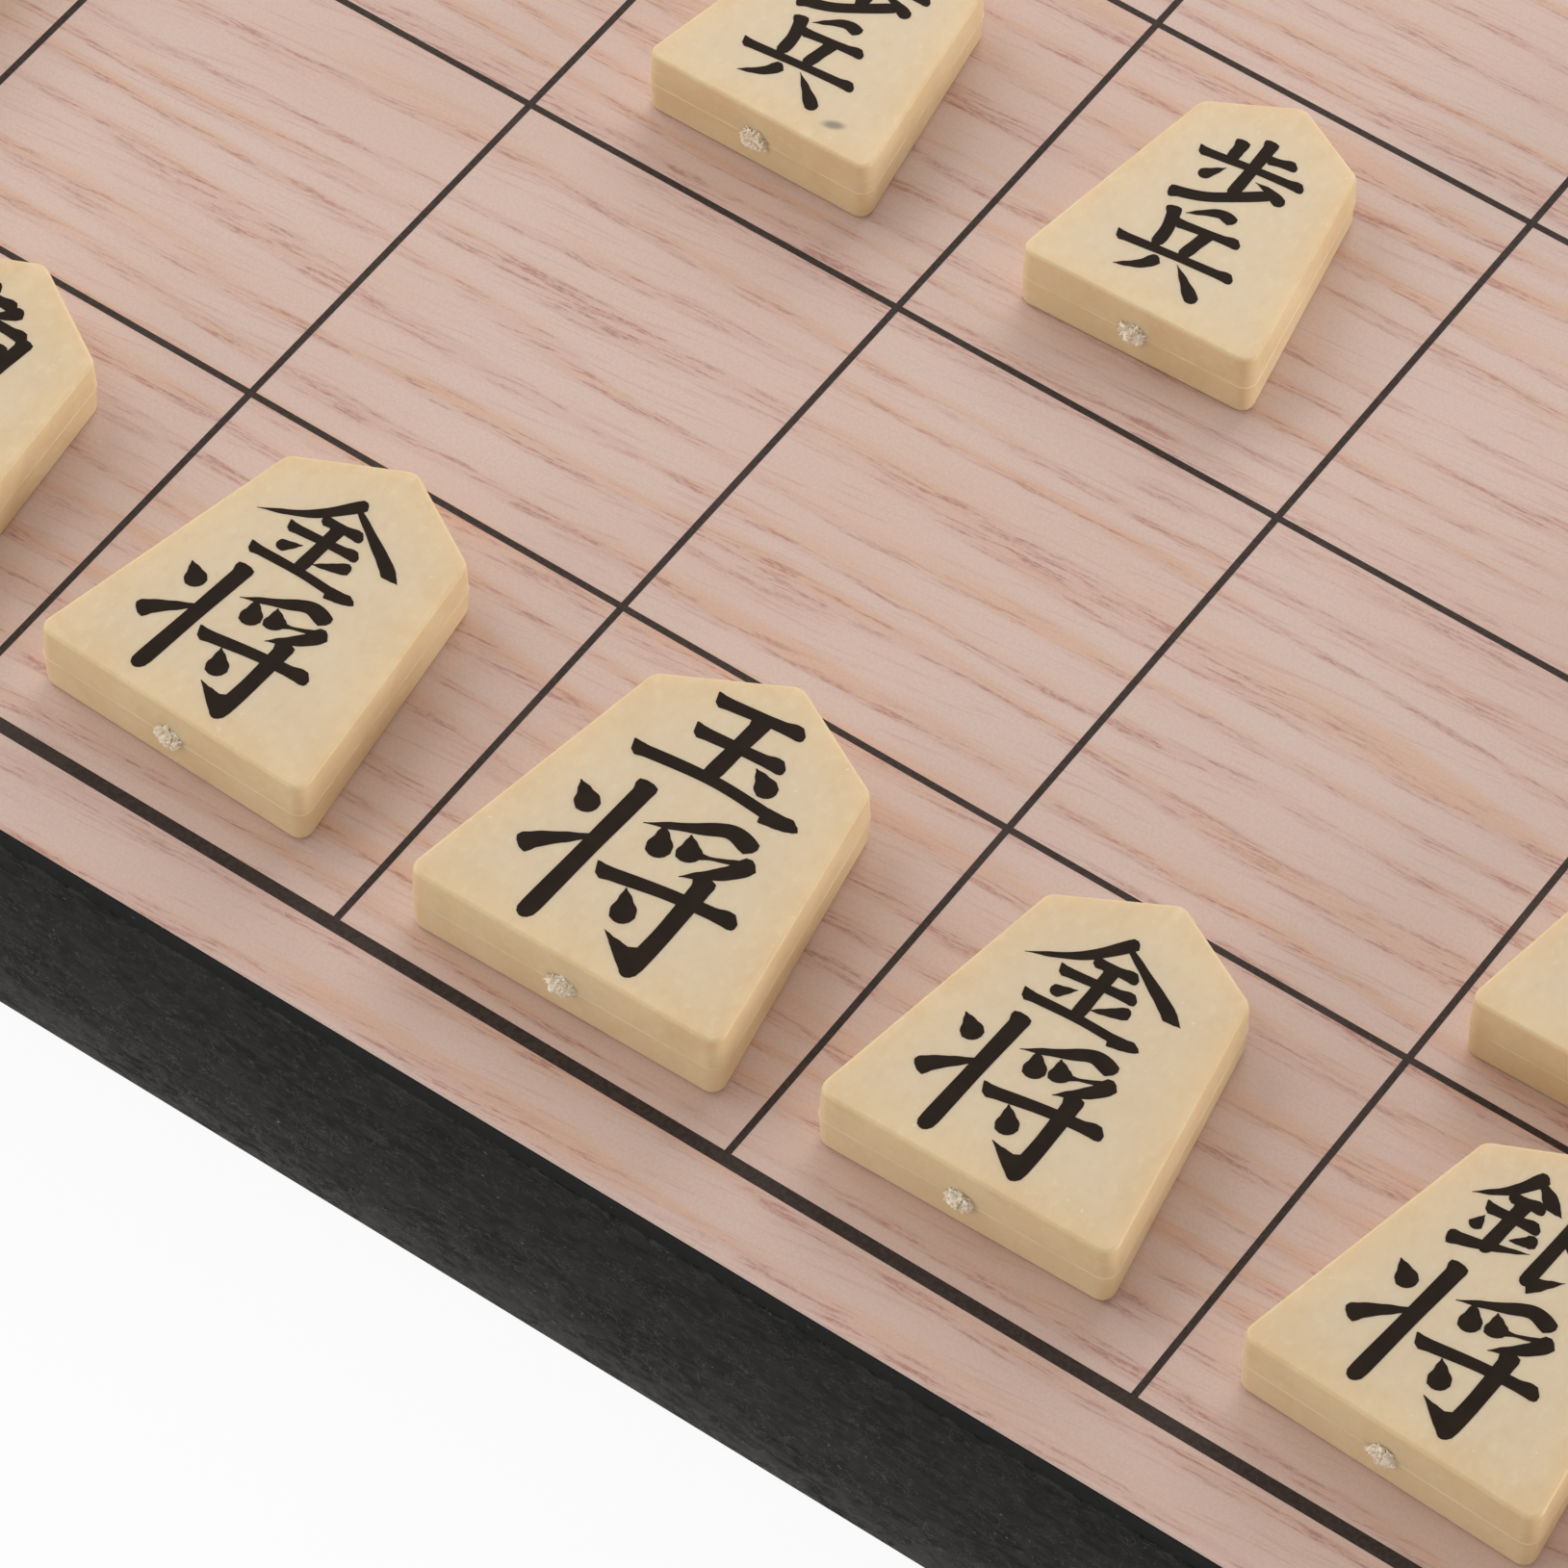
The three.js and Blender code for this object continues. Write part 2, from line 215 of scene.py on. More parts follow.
def mix(share, a, b, how="MIX"):
    """Two colours mixed by a share. A colour is a socket or a hex code."""
    a, b = (paint(colour) if isinstance(colour, str) else colour for colour in (a, b))
    return add_node(tree_of(share, a, b), "Mix", {0: share, 6: a, 7: b}, data_type="RGBA",
                    blend_type=how).outputs[2]


def feed(shader, name, value):
    """Links a value to an input of the shader."""
    shader.id_data.links.new(value, shader.inputs[name])


def bump(shader, height, depth_mm, strength):
    """Relief of a real depth on the shader's normal."""
    feed(shader, "Normal", add_node(shader.id_data, "Bump", {
        "Height": height, "Distance": depth_mm * MM, "Strength": strength}).outputs[0])


print("pattern helpers ready")

# %% [markdown]
# ## The printed sheet
# The sheet is paper with a wood grain printed on it, under a thin satin film. The grain runs
# along the ranks in rows a few millimetres apart. Each row is a soft reddish line made of short
# dark dashes, which overlap and rise a little to the right, with a peach stain beside it. Faint
# hairs cross the pale wood between the rows. A sine of the distance across the grain gives the
# rows, slow noise makes them drift and fade, and turned stretched noise gives dashes and hairs.
# A fine screen of ink dots lies over everything.

# %% The wood-grain print
ROW_SPACING = 3.7 * MM
ROW_DRIFT = 2.7
STAIN_LAG = 1.0
DASH_TURN = 3.5  # in degrees
HAIR_TURN = 6
THROUGH_SHEET = 50  # in millimetres, so that nothing changes through the sheet


def wander(place, length_mm, depth_mm, reach_mm):
    """Coordinates whose rows swing up and down slowly by reach_mm."""
    swing = noise(place, (length_mm, depth_mm, length_mm), 1)
    up = times(maths("SUBTRACT", swing, 0.5), reach_mm * 2 * MM)
    across = add_node(place.id_data, "CombineXYZ", {"Y": up}).outputs[0]
    return add_node(place.id_data, "VectorMath", {0: place, 1: across}, operation="ADD").outputs[0]


def grain(rows, length_mm, depth_mm, low, high, turn=0):
    """Noise stretched along the grain, from 0 to 1."""
    stretched = noise(rows, (length_mm, depth_mm, THROUGH_SHEET), 3, 0.6, turn=turn)
    return between(stretched, low, high)


sheet_print, shader, place = new_finish("sheet_print", "#D9BEB2", 0.5, 0.2)
rows = wander(place, 60, 16, 1.3)
slants = wander(rows, 12, 3, 0.45)
drift = times(noise(rows, (70, 6, 70)), ROW_DRIFT)
across = add_node(rows.id_data, "SeparateXYZ", {0: rows}).outputs[1]
count = maths("MULTIPLY_ADD", across, 1 / ROW_SPACING, drift)
wave = maths("SINE", times(count, math.tau))
row = between(wave, 0, 0.95)
later = maths("SINE", maths("MULTIPLY_ADD", count, math.tau, -STAIN_LAG))
stain_patches = grain(rows, 30, 2.6, 0.40, 0.64)
stain = times(between(later, -0.3, 1), stain_patches)
clusters = grain(rows, 16, 2.5, 0.30, 0.55)
dashes = grain(slants, 3.8, 0.27, 0.47, 0.64, DASH_TURN)
dots = grain(rows, 0.5, 0.2, 0.36, 0.60)
hairs = grain(slants, 8, 0.28, 0.55, 0.70, HAIR_TURN)
clouds = noise(place, (30, 16, 30))
screen = noise(place, 0.22, 1)
print("rows", round(ROW_SPACING / MM, 1), "mm apart")

# %% Ink the print from these masks
colour = mix(between(clouds, 0.3, 0.7), "#DBBDAE", "#DDC2B5")
halo = times(row, maths("MULTIPLY_ADD", clusters, 0.22, 0.06))
colour = mix(halo, colour, "#CFA294")
colour = mix(times(stain, 0.58), colour, "#DBAE90")
colour = mix(times(hairs, 0.26), colour, "#BE8A76")
ink = times(times(dashes, row), maths("MULTIPLY_ADD", clusters, 0.7, 0.3))
ink = times(ink, maths("MULTIPLY_ADD", dots, 0.42, 0.24))
colour = mix(ink, colour, "#A5695C")
colour = mix(between(screen, 0.32, 0.68, 0, 0.10), colour, "#A08276")
feed(shader, "Base Color", colour)
feed(shader, "Roughness", between(clouds, 0.2, 0.8, 0.46, 0.54))
film = noise(place, 0.35, 3)
bump(shader, film, 0.012, 0.5)
print("sheet_print:", len(shader.id_data.nodes), "nodes")

# %% [markdown]
# ## Print and ink
# The grid is printed in a warm black under the same film, and its edges follow the print
# screen. The signs on the pieces are stamped with a thicker ink, which is a little glossier and
# slightly uneven.

# %% The two blacks
line_print, shader, place = new_finish("line_print", "#39322F", 0.55, 0.1)
specks = noise(place, 0.3)
wear = noise(place, 6)
colour = mix(between(specks, 0.35, 0.7), "#382D28", "#443934")
colour = mix(between(wear, 0.5, 0.75, 0, 0.5), colour, "#4D4039")
feed(shader, "Base Color", colour)
bump(shader, specks, 0.01, 0.4)

stamped_ink, shader, place = new_finish("stamped_ink", "#2A211B", 0.5, 0.05)
patches = noise(place, 1.5, 3)
feed(shader, "Base Color", mix(between(patches, 0.35, 0.7), "#231911", "#2B2018"))
feed(shader, "Roughness", between(patches, 0.3, 0.7, 0.46, 0.58))
bump(shader, patches, 0.01, 0.3)
print("line_print and stamped_ink mixed")

# %% [markdown]
# ## The black case
# The walls are covered with a matte black fibrous paper. Seen close it is a dark felt of short
# curly fibres. The line where a noise passes through its middle value is a thin curl, so those
# lines are kept, broken up by a second noise, and lightened. Painted shade makes the walls
# darkest under the panel, a painted highlight makes a thin line there a little paler, and
# painted light from the floor makes them paler down to the foot. The panel's edge is plainer
# and darker, with painted shade towards its lower edge, and the inside is bare dark board with
# the same painted shade and light.

# %% The case's three surfaces
RAIL_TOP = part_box("near_rail")[1].z
EDGE_HIGHLIGHT_WIDTH = 0.35 * MM
FLOOR_LIGHT_REACH = 7 * MM
PANEL_SHADE_FADE = 1.6 * MM
LINT_COLOUR = "#9A9791"
PAINTED_SHADE_COLOUR = "#BBBBBB"


def curls(place, size_mm, thin, patch_mm):
    """Thin curly lines, kept only in patches."""
    field = noise(place, size_mm, 2, 0.6, 0.4)
    ridge = maths("ABSOLUTE", maths("SUBTRACT", field, 0.5))
    line = between(ridge, thin, 0)
    patch = between(noise(place, patch_mm), 0.45, 0.62)
    return times(line, patch)


def fibrous(name, dark, light, fibre, share, roughness, unshaded_height, shaded_height):
    """A matte felt of short fibres, with painted shade from one height to another."""
    material, shader, place = new_finish(name, dark, roughness, 0.12)
    felt = noise(place, (1.9, 1.9, 0.8), 5, 0.7, 0.9)
    clouds = noise(place, (9, 9, 5), 3)
    colour = mix(between(felt, 0.36, 0.66), dark, light)
    colour = mix(between(clouds, 0.40, 0.68, 0, 0.5), colour, light)
    lint = noise(place, (0.55, 0.55, 0.4), 1)
    colour = mix(between(lint, 0.76, 0.82, 0, share), colour, LINT_COLOUR)
    threads = maths("MAXIMUM", curls(place, (1.5, 1.5, 1.1), 0.018, 1.7),
                    curls(place, (0.8, 0.8, 0.6), 0.03, 1.1))
    colour = mix(times(threads, share), colour, fibre)
    height = add_node(place.id_data, "SeparateXYZ", {0: place}).outputs[2]
    # Painted light: paler towards the foot, where light from the white floor would reach.
    painted_floor_light = between(height, FLOOR_LIGHT_REACH, 0, 0, 0.45)
    colour = mix(times(painted_floor_light, between(felt, 0.3, 0.6)), colour, fibre)
    # Painted shade: darker from one height to the other, under the panel and in the groove below
    # its edge.
    painted_shade = between(height, unshaded_height, shaded_height)
    colour = mix(painted_shade, colour, PAINTED_SHADE_COLOUR, "MULTIPLY")
    # Painted highlight: a thin paler line just under the panel, where the eased edge would catch
    # the light.
    below = maths("ABSOLUTE", maths("SUBTRACT", height, RAIL_TOP - EDGE_HIGHLIGHT_WIDTH / 2))
    painted_edge_highlight = between(below, EDGE_HIGHLIGHT_WIDTH / 2, EDGE_HIGHLIGHT_WIDTH / 4)
    colour = mix(times(painted_edge_highlight, between(felt, 0.4, 0.6, 0, 0.13)), colour, fibre)
    feed(shader, "Base Color", colour)
    bump(shader, felt, 0.04, 0.5)
    return material


# Painted shade darkens the walls and the inside towards their top, and the panel's edge towards
# its lower edge.
wall_paper = fibrous("wall_paper", "#252423", "#403E3D", "#6C6A69", 0.5, 0.92, 0, RAIL_TOP)
panel_edge = fibrous("panel_edge", "#191817", "#201F1E", "#3A3936", 0.2, 0.85,
                     RAIL_TOP + PANEL_SHADE_FADE, RAIL_TOP)
bare_board = fibrous("bare_board", "#2B2825", "#3A3632", "#6A635B", 0.35, 0.95, 0, RAIL_TOP)
print("wall_paper, panel_edge and bare_board mixed")

# %% [markdown]
# ## The piece plastic
# The pieces are cream plastic that imitates boxwood. It lets light in, so edges look soft and
# warm, and it shows faint flow marks and pale specks from the mould. One pawn carries a grey
# smudge. Two values are marked on each piece's own points and read here: the middle of its top,
# which is paler, and its parting line, which is paler too and broken.

# %% Cream plastic
SMUDGE_PLACE = Vector((-25.0, -70.25, 27.0)) * MM
SMUDGE_SIZE = Vector((1.1, 0.55, 1.5)) * MM
SMUDGE_TURN = math.radians(25)


def marked(shader, name):
    """The value that a piece carries on its points under a name."""
    return add_node(shader.id_data, "Attribute", attribute_name=name).outputs["Fac"]


def let_light_in(shader, weight, reach_by_colour, reach_mm):
    """Makes a plastic milky: red, green and blue light spread in it by their own reach."""
    shader.inputs["Subsurface Weight"].default_value = weight
    shader.inputs["Subsurface Radius"].default_value = reach_by_colour
    shader.inputs["Subsurface Scale"].default_value = reach_mm * MM


piece_plastic, shader, place = new_finish("piece_plastic", "#E1C79C", 0.42, 0.3)
flow = noise(place, 7, 3, 0.55, 1.2)
fine = noise(place, (0.7, 1.1, 0.7), 4, 0.65)
specks = noise(place, 0.45)
colour = mix(between(flow, 0.32, 0.68), "#DEC297", "#E4CBA2")
# The middle of the top is paler.
colour = mix(times(marked(shader, "top_middle"), 0.6), colour, "#DDC9AD")
colour = mix(between(fine, 0.50, 0.74, 0, 0.4), colour, "#E8D6B4")
colour = mix(between(fine, 0.48, 0.28, 0, 0.22), colour, "#D2B387")
colour = mix(between(specks, 0.70, 0.78, 0, 0.55), colour, "#EDE0C4")
breaks = between(noise(place, 2.6), 0.38, 0.56)
colour = mix(times(marked(shader, "seam"), breaks), colour, "#EFDDBB")
smudge = add_node(place.id_data, "Mapping", {
    "Vector": place, "Location": SMUDGE_PLACE, "Rotation": (0, 0, SMUDGE_TURN),
    "Scale": SMUDGE_SIZE}, vector_type="TEXTURE").outputs[0]
smudge = add_node(place.id_data, "TexGradient", {"Vector": smudge},
                  gradient_type="SPHERICAL").outputs["Fac"]
colour = mix(between(smudge, 0, 0.75, 0, 0.75), colour, "#6E675C")
feed(shader, "Base Color", colour)
feed(shader, "Roughness", between(flow, 0.3, 0.7, 0.36, 0.46))
let_light_in(shader, 0.35, (1.0, 0.6, 0.3), 1.6)
bump(shader, maths("ADD", fine, times(specks, 0.6)), 0.02, 0.35)
print("piece_plastic:", len(shader.id_data.nodes), "nodes")

# %% [markdown]
# ## The other plastics
# Where the gate was twisted off a piece, the plastic is torn and whitish. The torn flakes are so
# small that light must not spread far in them, or they would lose their red and look blue. The
# trays are black plastic with a fine grain, and the feet are foam with small pores.

# %% Torn plastic, black plastic and foam
torn_plastic, shader, place = new_finish("torn_plastic", "#EEE3C6", 0.6, 0.4)
shreds = noise(place, (0.22, 0.22, 0.5), 4, 0.7)
feed(shader, "Base Color", mix(between(shreds, 0.3, 0.6), "#F4DFC0", "#FFF6E6"))
let_light_in(shader, 0.2, (1.0, 0.7, 0.45), 0.3)
bump(shader, shreds, 0.04, 0.4)

tray_plastic, shader, place = new_finish("tray_plastic", "#252627", 0.5, 0.45)
spark = noise(place, 0.5, 3, 0.6)
sheen = noise(place, 12)
feed(shader, "Base Color", mix(between(sheen, 0.3, 0.7), "#222324", "#2C2D2F"))
feed(shader, "Roughness", between(sheen, 0.3, 0.7, 0.45, 0.6))
bump(shader, spark, 0.03, 0.6)

foot_foam, shader, place = new_finish("foot_foam", "#171717", 0.95, 0.2)
pores = add_node(place.id_data, "TexVoronoi", {"Vector": sized(place, 0.4), "Scale": 1},
                 feature="F1").outputs["Distance"]
feed(shader, "Base Color", mix(between(pores, 0.1, 0.6), "#0F0F0F", "#1D1D1D"))
bump(shader, pores, 0.1, 0.7)
print("torn_plastic, tray_plastic and foot_foam mixed")

# %% [markdown]
# ## Helpers for shaping
# The rest of the lesson models by hand: a primitive at its size and place, shaped in edit mode.
# An operator acts on whatever is selected, so one helper clears the selection before each new
# shape, and another picks points, edges or faces by a test on their place.

# %% Helpers that select
FACING = 0.9  # the share of a direction that has to lie along an axis to count as facing it


def start_clear():
    """Nothing selected, in object mode, before a new shape is added."""
    if bpy.context.object and bpy.context.object.mode != "OBJECT":
        bpy.ops.object.mode_set(mode="OBJECT")
    bpy.ops.object.select_all(action="DESELECT")


def only(thing):
    """The object alone is selected and active."""
    start_clear()
    thing.select_set(True)
    bpy.context.view_layer.objects.active = thing
    return thing


def edit_all():
    """Edit mode, with everything selected."""
    bpy.ops.object.mode_set(mode="EDIT")
    bpy.ops.mesh.select_all(action="SELECT")


def pick(kind, test):
    """In edit mode, selects only the items of a kind (VERT, EDGE or FACE) that pass a test."""
    bpy.ops.mesh.select_mode(type=kind)
    bpy.ops.mesh.select_all(action="DESELECT")
    mesh = bmesh.from_edit_mesh(bpy.context.object.data)
    items = {"VERT": mesh.verts, "EDGE": mesh.edges, "FACE": mesh.faces}[kind]
    for item in filter(test, items):
        item.select_set(True)
    mesh.select_flush_mode()
    bmesh.update_edit_mesh(bpy.context.object.data)


print("selection helpers ready")

# %% [markdown]
# What every shape needs is done in one place too: its size goes into its mesh, flat faces get a
# thickness, sharp edges are eased, and the eased edges are shaded so that the large faces beside
# them still look flat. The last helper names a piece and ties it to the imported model.

# %% Helpers that shape and finish
FLAT = math.radians(1)
SHARP = math.radians(30)


def fit(size):
    """Scales the new shape, and puts its place and size into its mesh."""
    shape = bpy.context.object
    shape.scale = size
    bpy.ops.object.transform_apply(location=True, rotation=False, scale=True)
    return shape


def thicken_down(depth):
    """Gives flat faces in edit mode a thickness below them, and leaves edit mode."""
    bpy.ops.mesh.select_all(action="SELECT")
    bpy.ops.mesh.extrude_region_move(TRANSFORM_OT_translate={"value": (0, 0, -depth)})
    bpy.ops.mesh.select_all(action="SELECT")
    bpy.ops.mesh.normals_make_consistent(inside=False)
    bpy.ops.object.mode_set(mode="OBJECT")


def ease_edges(width, segments):
    """Eases every sharp edge of the active object."""
    bevel = bpy.context.object.modifiers.new("ease", "BEVEL")
    bevel.width = width
    bevel.segments = segments
    bevel.limit_method = "ANGLE"
    bevel.angle_limit = SHARP
    bpy.ops.object.modifier_apply(modifier=bevel.name)


def shade(sharpest):
    """Smooth shading up to an angle, with normals that lean to the large faces."""
    bpy.ops.object.shade_smooth_by_angle(angle=sharpest)
    weighted = bpy.context.object.modifiers.new("weighted", "WEIGHTED_NORMAL")
    weighted.weight = 100
    weighted.keep_sharp = True
    bpy.ops.object.modifier_apply(modifier=weighted.name)


def only_material(piece, material):
    """The piece is all of one material."""
    piece.data.materials.clear()
    piece.data.materials.append(material)


def finish_piece(piece, name, material, body, slot, *replaced):
    """Names a piece, gives it its finish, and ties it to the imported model."""
    piece.name = piece.data.name = name
    if material:
        only_material(piece, material)
    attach(piece, body)
    if replaced:
        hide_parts(*replaced)
    return piece


print("shaping helpers ready")

# %% [markdown]
# ## The case, with its edges eased
# The walls, the panel and the drawers have the right shape in the solids, but no real board
# edge is perfectly sharp, and it is the eased edge that catches the light. Each one is a copy
# of its solid: loose triangles are merged, flat faces are made whole again, and a small bevel
# goes round every edge.

# %% Copy the solids of the case and ease their edges
EDGE_EASE = 0.3 * MM
TRAY_EASE = 0.4 * MM
SAME_POINT = 0.001 * MM
CASE_SMOOTH = math.radians(40)


def eased_copy(node, name, ease, segments, material, slot):
    """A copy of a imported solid, merged, with its edges eased, which stands for it."""
    source = nodes[node]
    piece = bpy.data.objects.new(name, source.data.copy())
    bpy.context.scene.collection.objects.link(piece)
    only(piece)
    if piece.data.has_custom_normals:
        bpy.ops.mesh.customdata_custom_splitnormals_clear()
    edit_all()
    bpy.ops.mesh.remove_doubles(threshold=SAME_POINT)
    bpy.ops.mesh.dissolve_limited(angle_limit=FLAT)
    bpy.ops.object.mode_set(mode="OBJECT")
    ease_edges(ease, segments)
    shade(CASE_SMOOTH)
    return finish_piece(piece, name, material, source["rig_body"], slot, node)


for side in ("near", "far", "left", "right"):
    eased_copy(side + "_rail", side + "_wall", EDGE_EASE, 3, wall_paper, "case_black")
eased_copy("top_panel", "panel_board", EDGE_EASE / 2, 2, panel_edge, "case_black")
eased_copy("play_sheet", "printed_sheet", EDGE_EASE / 4, 2, sheet_print, "printed_sheet")
for side in ("left", "right"):
    drawer = side + "_drawer"
    eased_copy(drawer + "_front", drawer + "_face", EDGE_EASE, 3, wall_paper, "case_black")
    eased_copy(drawer + "_tray", drawer + "_box", TRAY_EASE, 3, tray_plastic, "tray_plastic")
    eased_copy(drawer + "_divider", drawer + "_web", TRAY_EASE, 2, tray_plastic, "tray_plastic")
    for along in ("near", "far"):
        eased_copy(f"foot_{along}_{side}", f"pad_{along}_{side}", EDGE_EASE / 2, 2, foot_foam,
                   "foot_foam")
for node in ("base_panel", "centre_rib", "left_drawer_bay", "right_drawer_bay"):
    only_material(nodes[node], bare_board)
print("case dressed")

# %% [markdown]
# ## The printed lines
# The grid could be painted in the sheet's material, but lines made as very thin solids stay
# sharp at any size. A plane with as many faces as the board has cells is inset face by face,
# and the inner faces are deleted: what is left is the lattice, with clean crossings. The border
# is one more plane, inset and emptied, and the star dots are thin discs.

# %% Model the lattice, the border and the star dots
def leave_print(unwanted):
    """Deletes the unwanted faces and gives those kept the thickness of a print."""
    pick("FACE", unwanted)
    bpy.ops.mesh.delete(type="FACE")
    thicken_down(PRINT_DEPTH)


start_clear()
bpy.ops.mesh.primitive_grid_add(x_subdivisions=FILES, y_subdivisions=RANKS, size=1,
                                location=(0, 0, SHEET_TOP + LATTICE_PROUD))
lattice = fit((FIELD_WIDTH, FIELD_DEPTH, 1))
edit_all()
bpy.ops.mesh.inset(thickness=INNER_LINE / 2, use_individual=True)
leave_print(lambda face: face.calc_area() >= CELL_WIDTH * CELL_DEPTH / 2)

start_clear()
bpy.ops.mesh.primitive_plane_add(size=1, location=(0, 0, SHEET_TOP + BORDER_PROUD))
border = fit((FIELD_WIDTH + BORDER_LINE, FIELD_DEPTH + BORDER_LINE, 1))
edit_all()
bpy.ops.mesh.inset(thickness=BORDER_LINE)
leave_print(lambda face: face.calc_center_median().xy.length <= CELL_WIDTH)

stars = []
for across in (-1, 1):
    for along in (-1, 1):
        start_clear()
        bpy.ops.mesh.primitive_cylinder_add(
            vertices=STAR_SIDES, radius=STAR_RADIUS, depth=PRINT_DEPTH,
            location=(across * (FIELD_WIDTH / 2 - STAR_CELLS * CELL_WIDTH),
                      along * (FIELD_DEPTH / 2 - STAR_CELLS * CELL_DEPTH),
                      SHEET_TOP + BORDER_PROUD - PRINT_DEPTH / 2))
        stars.append(fit((1, 1, 1)))

only(lattice)
for part in (border, *stars):
    part.select_set(True)
bpy.ops.object.join()
finish_piece(lattice, "grid_print", line_print, "case", "print_line")
print("grid_print:", len(lattice.data.polygons), "faces")

# %% [markdown]
# ## The eight kinds of piece
# A shogi piece is a five-sided wedge: wide and thick at its base, narrow and thin at its point.
# All eight kinds share their angles and differ in width, length and thickness. A piece is
# modelled standing on the origin, the middle of its base edge, pointing along y.

# %% The sizes of the eight kinds
SIZES = {  # width at the base, length, thickness at the base, in millimetres
    "king": (23.8, 26.5, 5.7),
    "rook": (23.2, 26.0, 5.6),
    "bishop": (23.2, 26.0, 5.6),
    "gold": (21.8, 25.2, 5.5),
    "silver": (21.8, 25.2, 5.5),
    "knight": (20.6, 24.2, 5.4),
    "lance": (19.2, 24.2, 5.4),
    "pawn": (18.2, 21.7, 5.3),
}
SIDE_LEAN = math.radians(9.2)
ROOF_SLOPE = math.radians(28.7)
POINT_THICKNESS_SHARE = 0.83


def shoulders(width, length):
    """Half the width at the shoulders, and how far they are from the base."""
    lean, slope = math.tan(SIDE_LEAN), math.tan(ROOF_SLOPE)
    half = (width / 2 - length * lean) / (1 - lean * slope)
    return half, length - half * slope


def surface_height(y, length, thickness):
    """The height of the sloping top at a distance from the base."""
    return thickness * (1 - (1 - POINT_THICKNESS_SHARE) * y / length)


print("kinds:", len(SIZES))

# %% [markdown]
# ## One piece, from a block
# Each piece starts as a block as long as the straight part of its sides. The far face is
# narrowed to the shoulders, drawn out and closed to the point, and the top is lowered towards
# it. A cut at half height makes the line where the two halves of the mould meet, and both
# halves draw in from there, so that the piece leaves the mould.

# %% The wedge and its two halves
DRAFT = 0.08 * MM
CLOSED_POINT = 0.01 * MM


def model_wedge(width, length, thickness):
    """A sharp five-sided wedge, left in edit mode."""
    half_shoulder, shoulder_y = shoulders(width, length)
    start_clear()
    bpy.ops.mesh.primitive_cube_add(size=1, location=(0, shoulder_y / 2, thickness / 2))
    piece = fit((width, shoulder_y, thickness))
    bpy.ops.object.mode_set(mode="EDIT")
    pick("FACE", lambda face: face.normal.y > FACING)
    bpy.ops.transform.resize(value=(2 * half_shoulder / width, 1, 1), center_override=(0, 0, 0))
    bpy.ops.mesh.extrude_region_move(
        TRANSFORM_OT_translate={"value": (0, length - shoulder_y, 0)})
    bpy.ops.transform.resize(value=(0, 1, 1), center_override=(0, 0, 0))
    bpy.ops.mesh.select_all(action="SELECT")
    bpy.ops.mesh.remove_doubles(threshold=CLOSED_POINT)
    for y in (shoulder_y, length):
        pick("VERT", lambda vert: vert.co.z > thickness / 2 and abs(vert.co.y - y) < DRAFT)
        lower = surface_height(y, length, thickness) - thickness
        bpy.ops.transform.translate(value=(0, 0, lower))
    bpy.ops.mesh.select_all(action="SELECT")
    bpy.ops.mesh.dissolve_limited(angle_limit=FLAT)
    return piece


def draw_in_halves(width, length, thickness):
    """Cuts the sides at half height, and makes the top and the underside a little smaller."""
    drop = (1 - POINT_THICKNESS_SHARE) * thickness / 2 / length
    bpy.ops.mesh.select_all(action="SELECT")
    bpy.ops.mesh.bisect(plane_co=(0, 0, thickness / 2), plane_no=(0, drop, 1))
    for level in (0, 1):
        pick("VERT", lambda vert: abs(
            vert.co.z - level * surface_height(vert.co.y, length, thickness)) < DRAFT)
        bpy.ops.transform.resize(value=(1 - 2 * DRAFT / width, 1 - 2 * DRAFT / length, 1),
                                 center_override=(0, length / 2, 0))


print("wedge helpers ready")

# %% [markdown]
# Corners and edges are rounded last, because every earlier step is easier on a plain shape. The
# parting line becomes a thin proud seam. The top is cut once more, into a smaller face in its
# middle, so that the middle and the seam can be marked on the points for the plastic.

# %% Helpers that round a wedge and mark its points
CORNER_RADIUS = 0.95 * MM
CORNER_SEGMENTS = 6
TOP_EASE = 0.26 * MM
FOOT_EASE = 0.3 * MM
SEAM_WIDTH = 0.08 * MM
SEAM_PROUD = 0.045 * MM
MIDDLE_SHARE = 0.7
MIDDLE_PLACE_SHARE = 0.45
PIECE_SMOOTH = math.radians(50)


def upright_between(edge, near, far):
    """Whether an edge stands upright, with its middle between two distances from the base."""
    low, high = (vert.co for vert in edge.verts)
    return abs((high - low).normalized().z) > FACING and near < (low.y + high.y) / 2 < far


def round_corners(turn, near, far):
    """Rounds the upright edges between two distances, where the outline turns by an angle."""
    pick("EDGE", lambda edge: upright_between(edge, near, far))
    bpy.ops.mesh.bevel(offset=CORNER_RADIUS * math.tan(turn / 2), segments=CORNER_SEGMENTS,
                       affect="EDGES")


def pick_flat(up):
    """Selects the large face on top, where up is 1, or the one underneath, where it is -1."""
    pick("FACE", lambda face: len(face.verts) > 4 and face.normal.z * up > FACING)


def mark(piece, name, points):
    """Marks some of a piece's points with the value 1, for its material to read."""
    marks = piece.data.attributes.new(name, "FLOAT", "POINT")
    for index in points:
        marks.data[index].value = 1.0


print("rounding helpers ready")

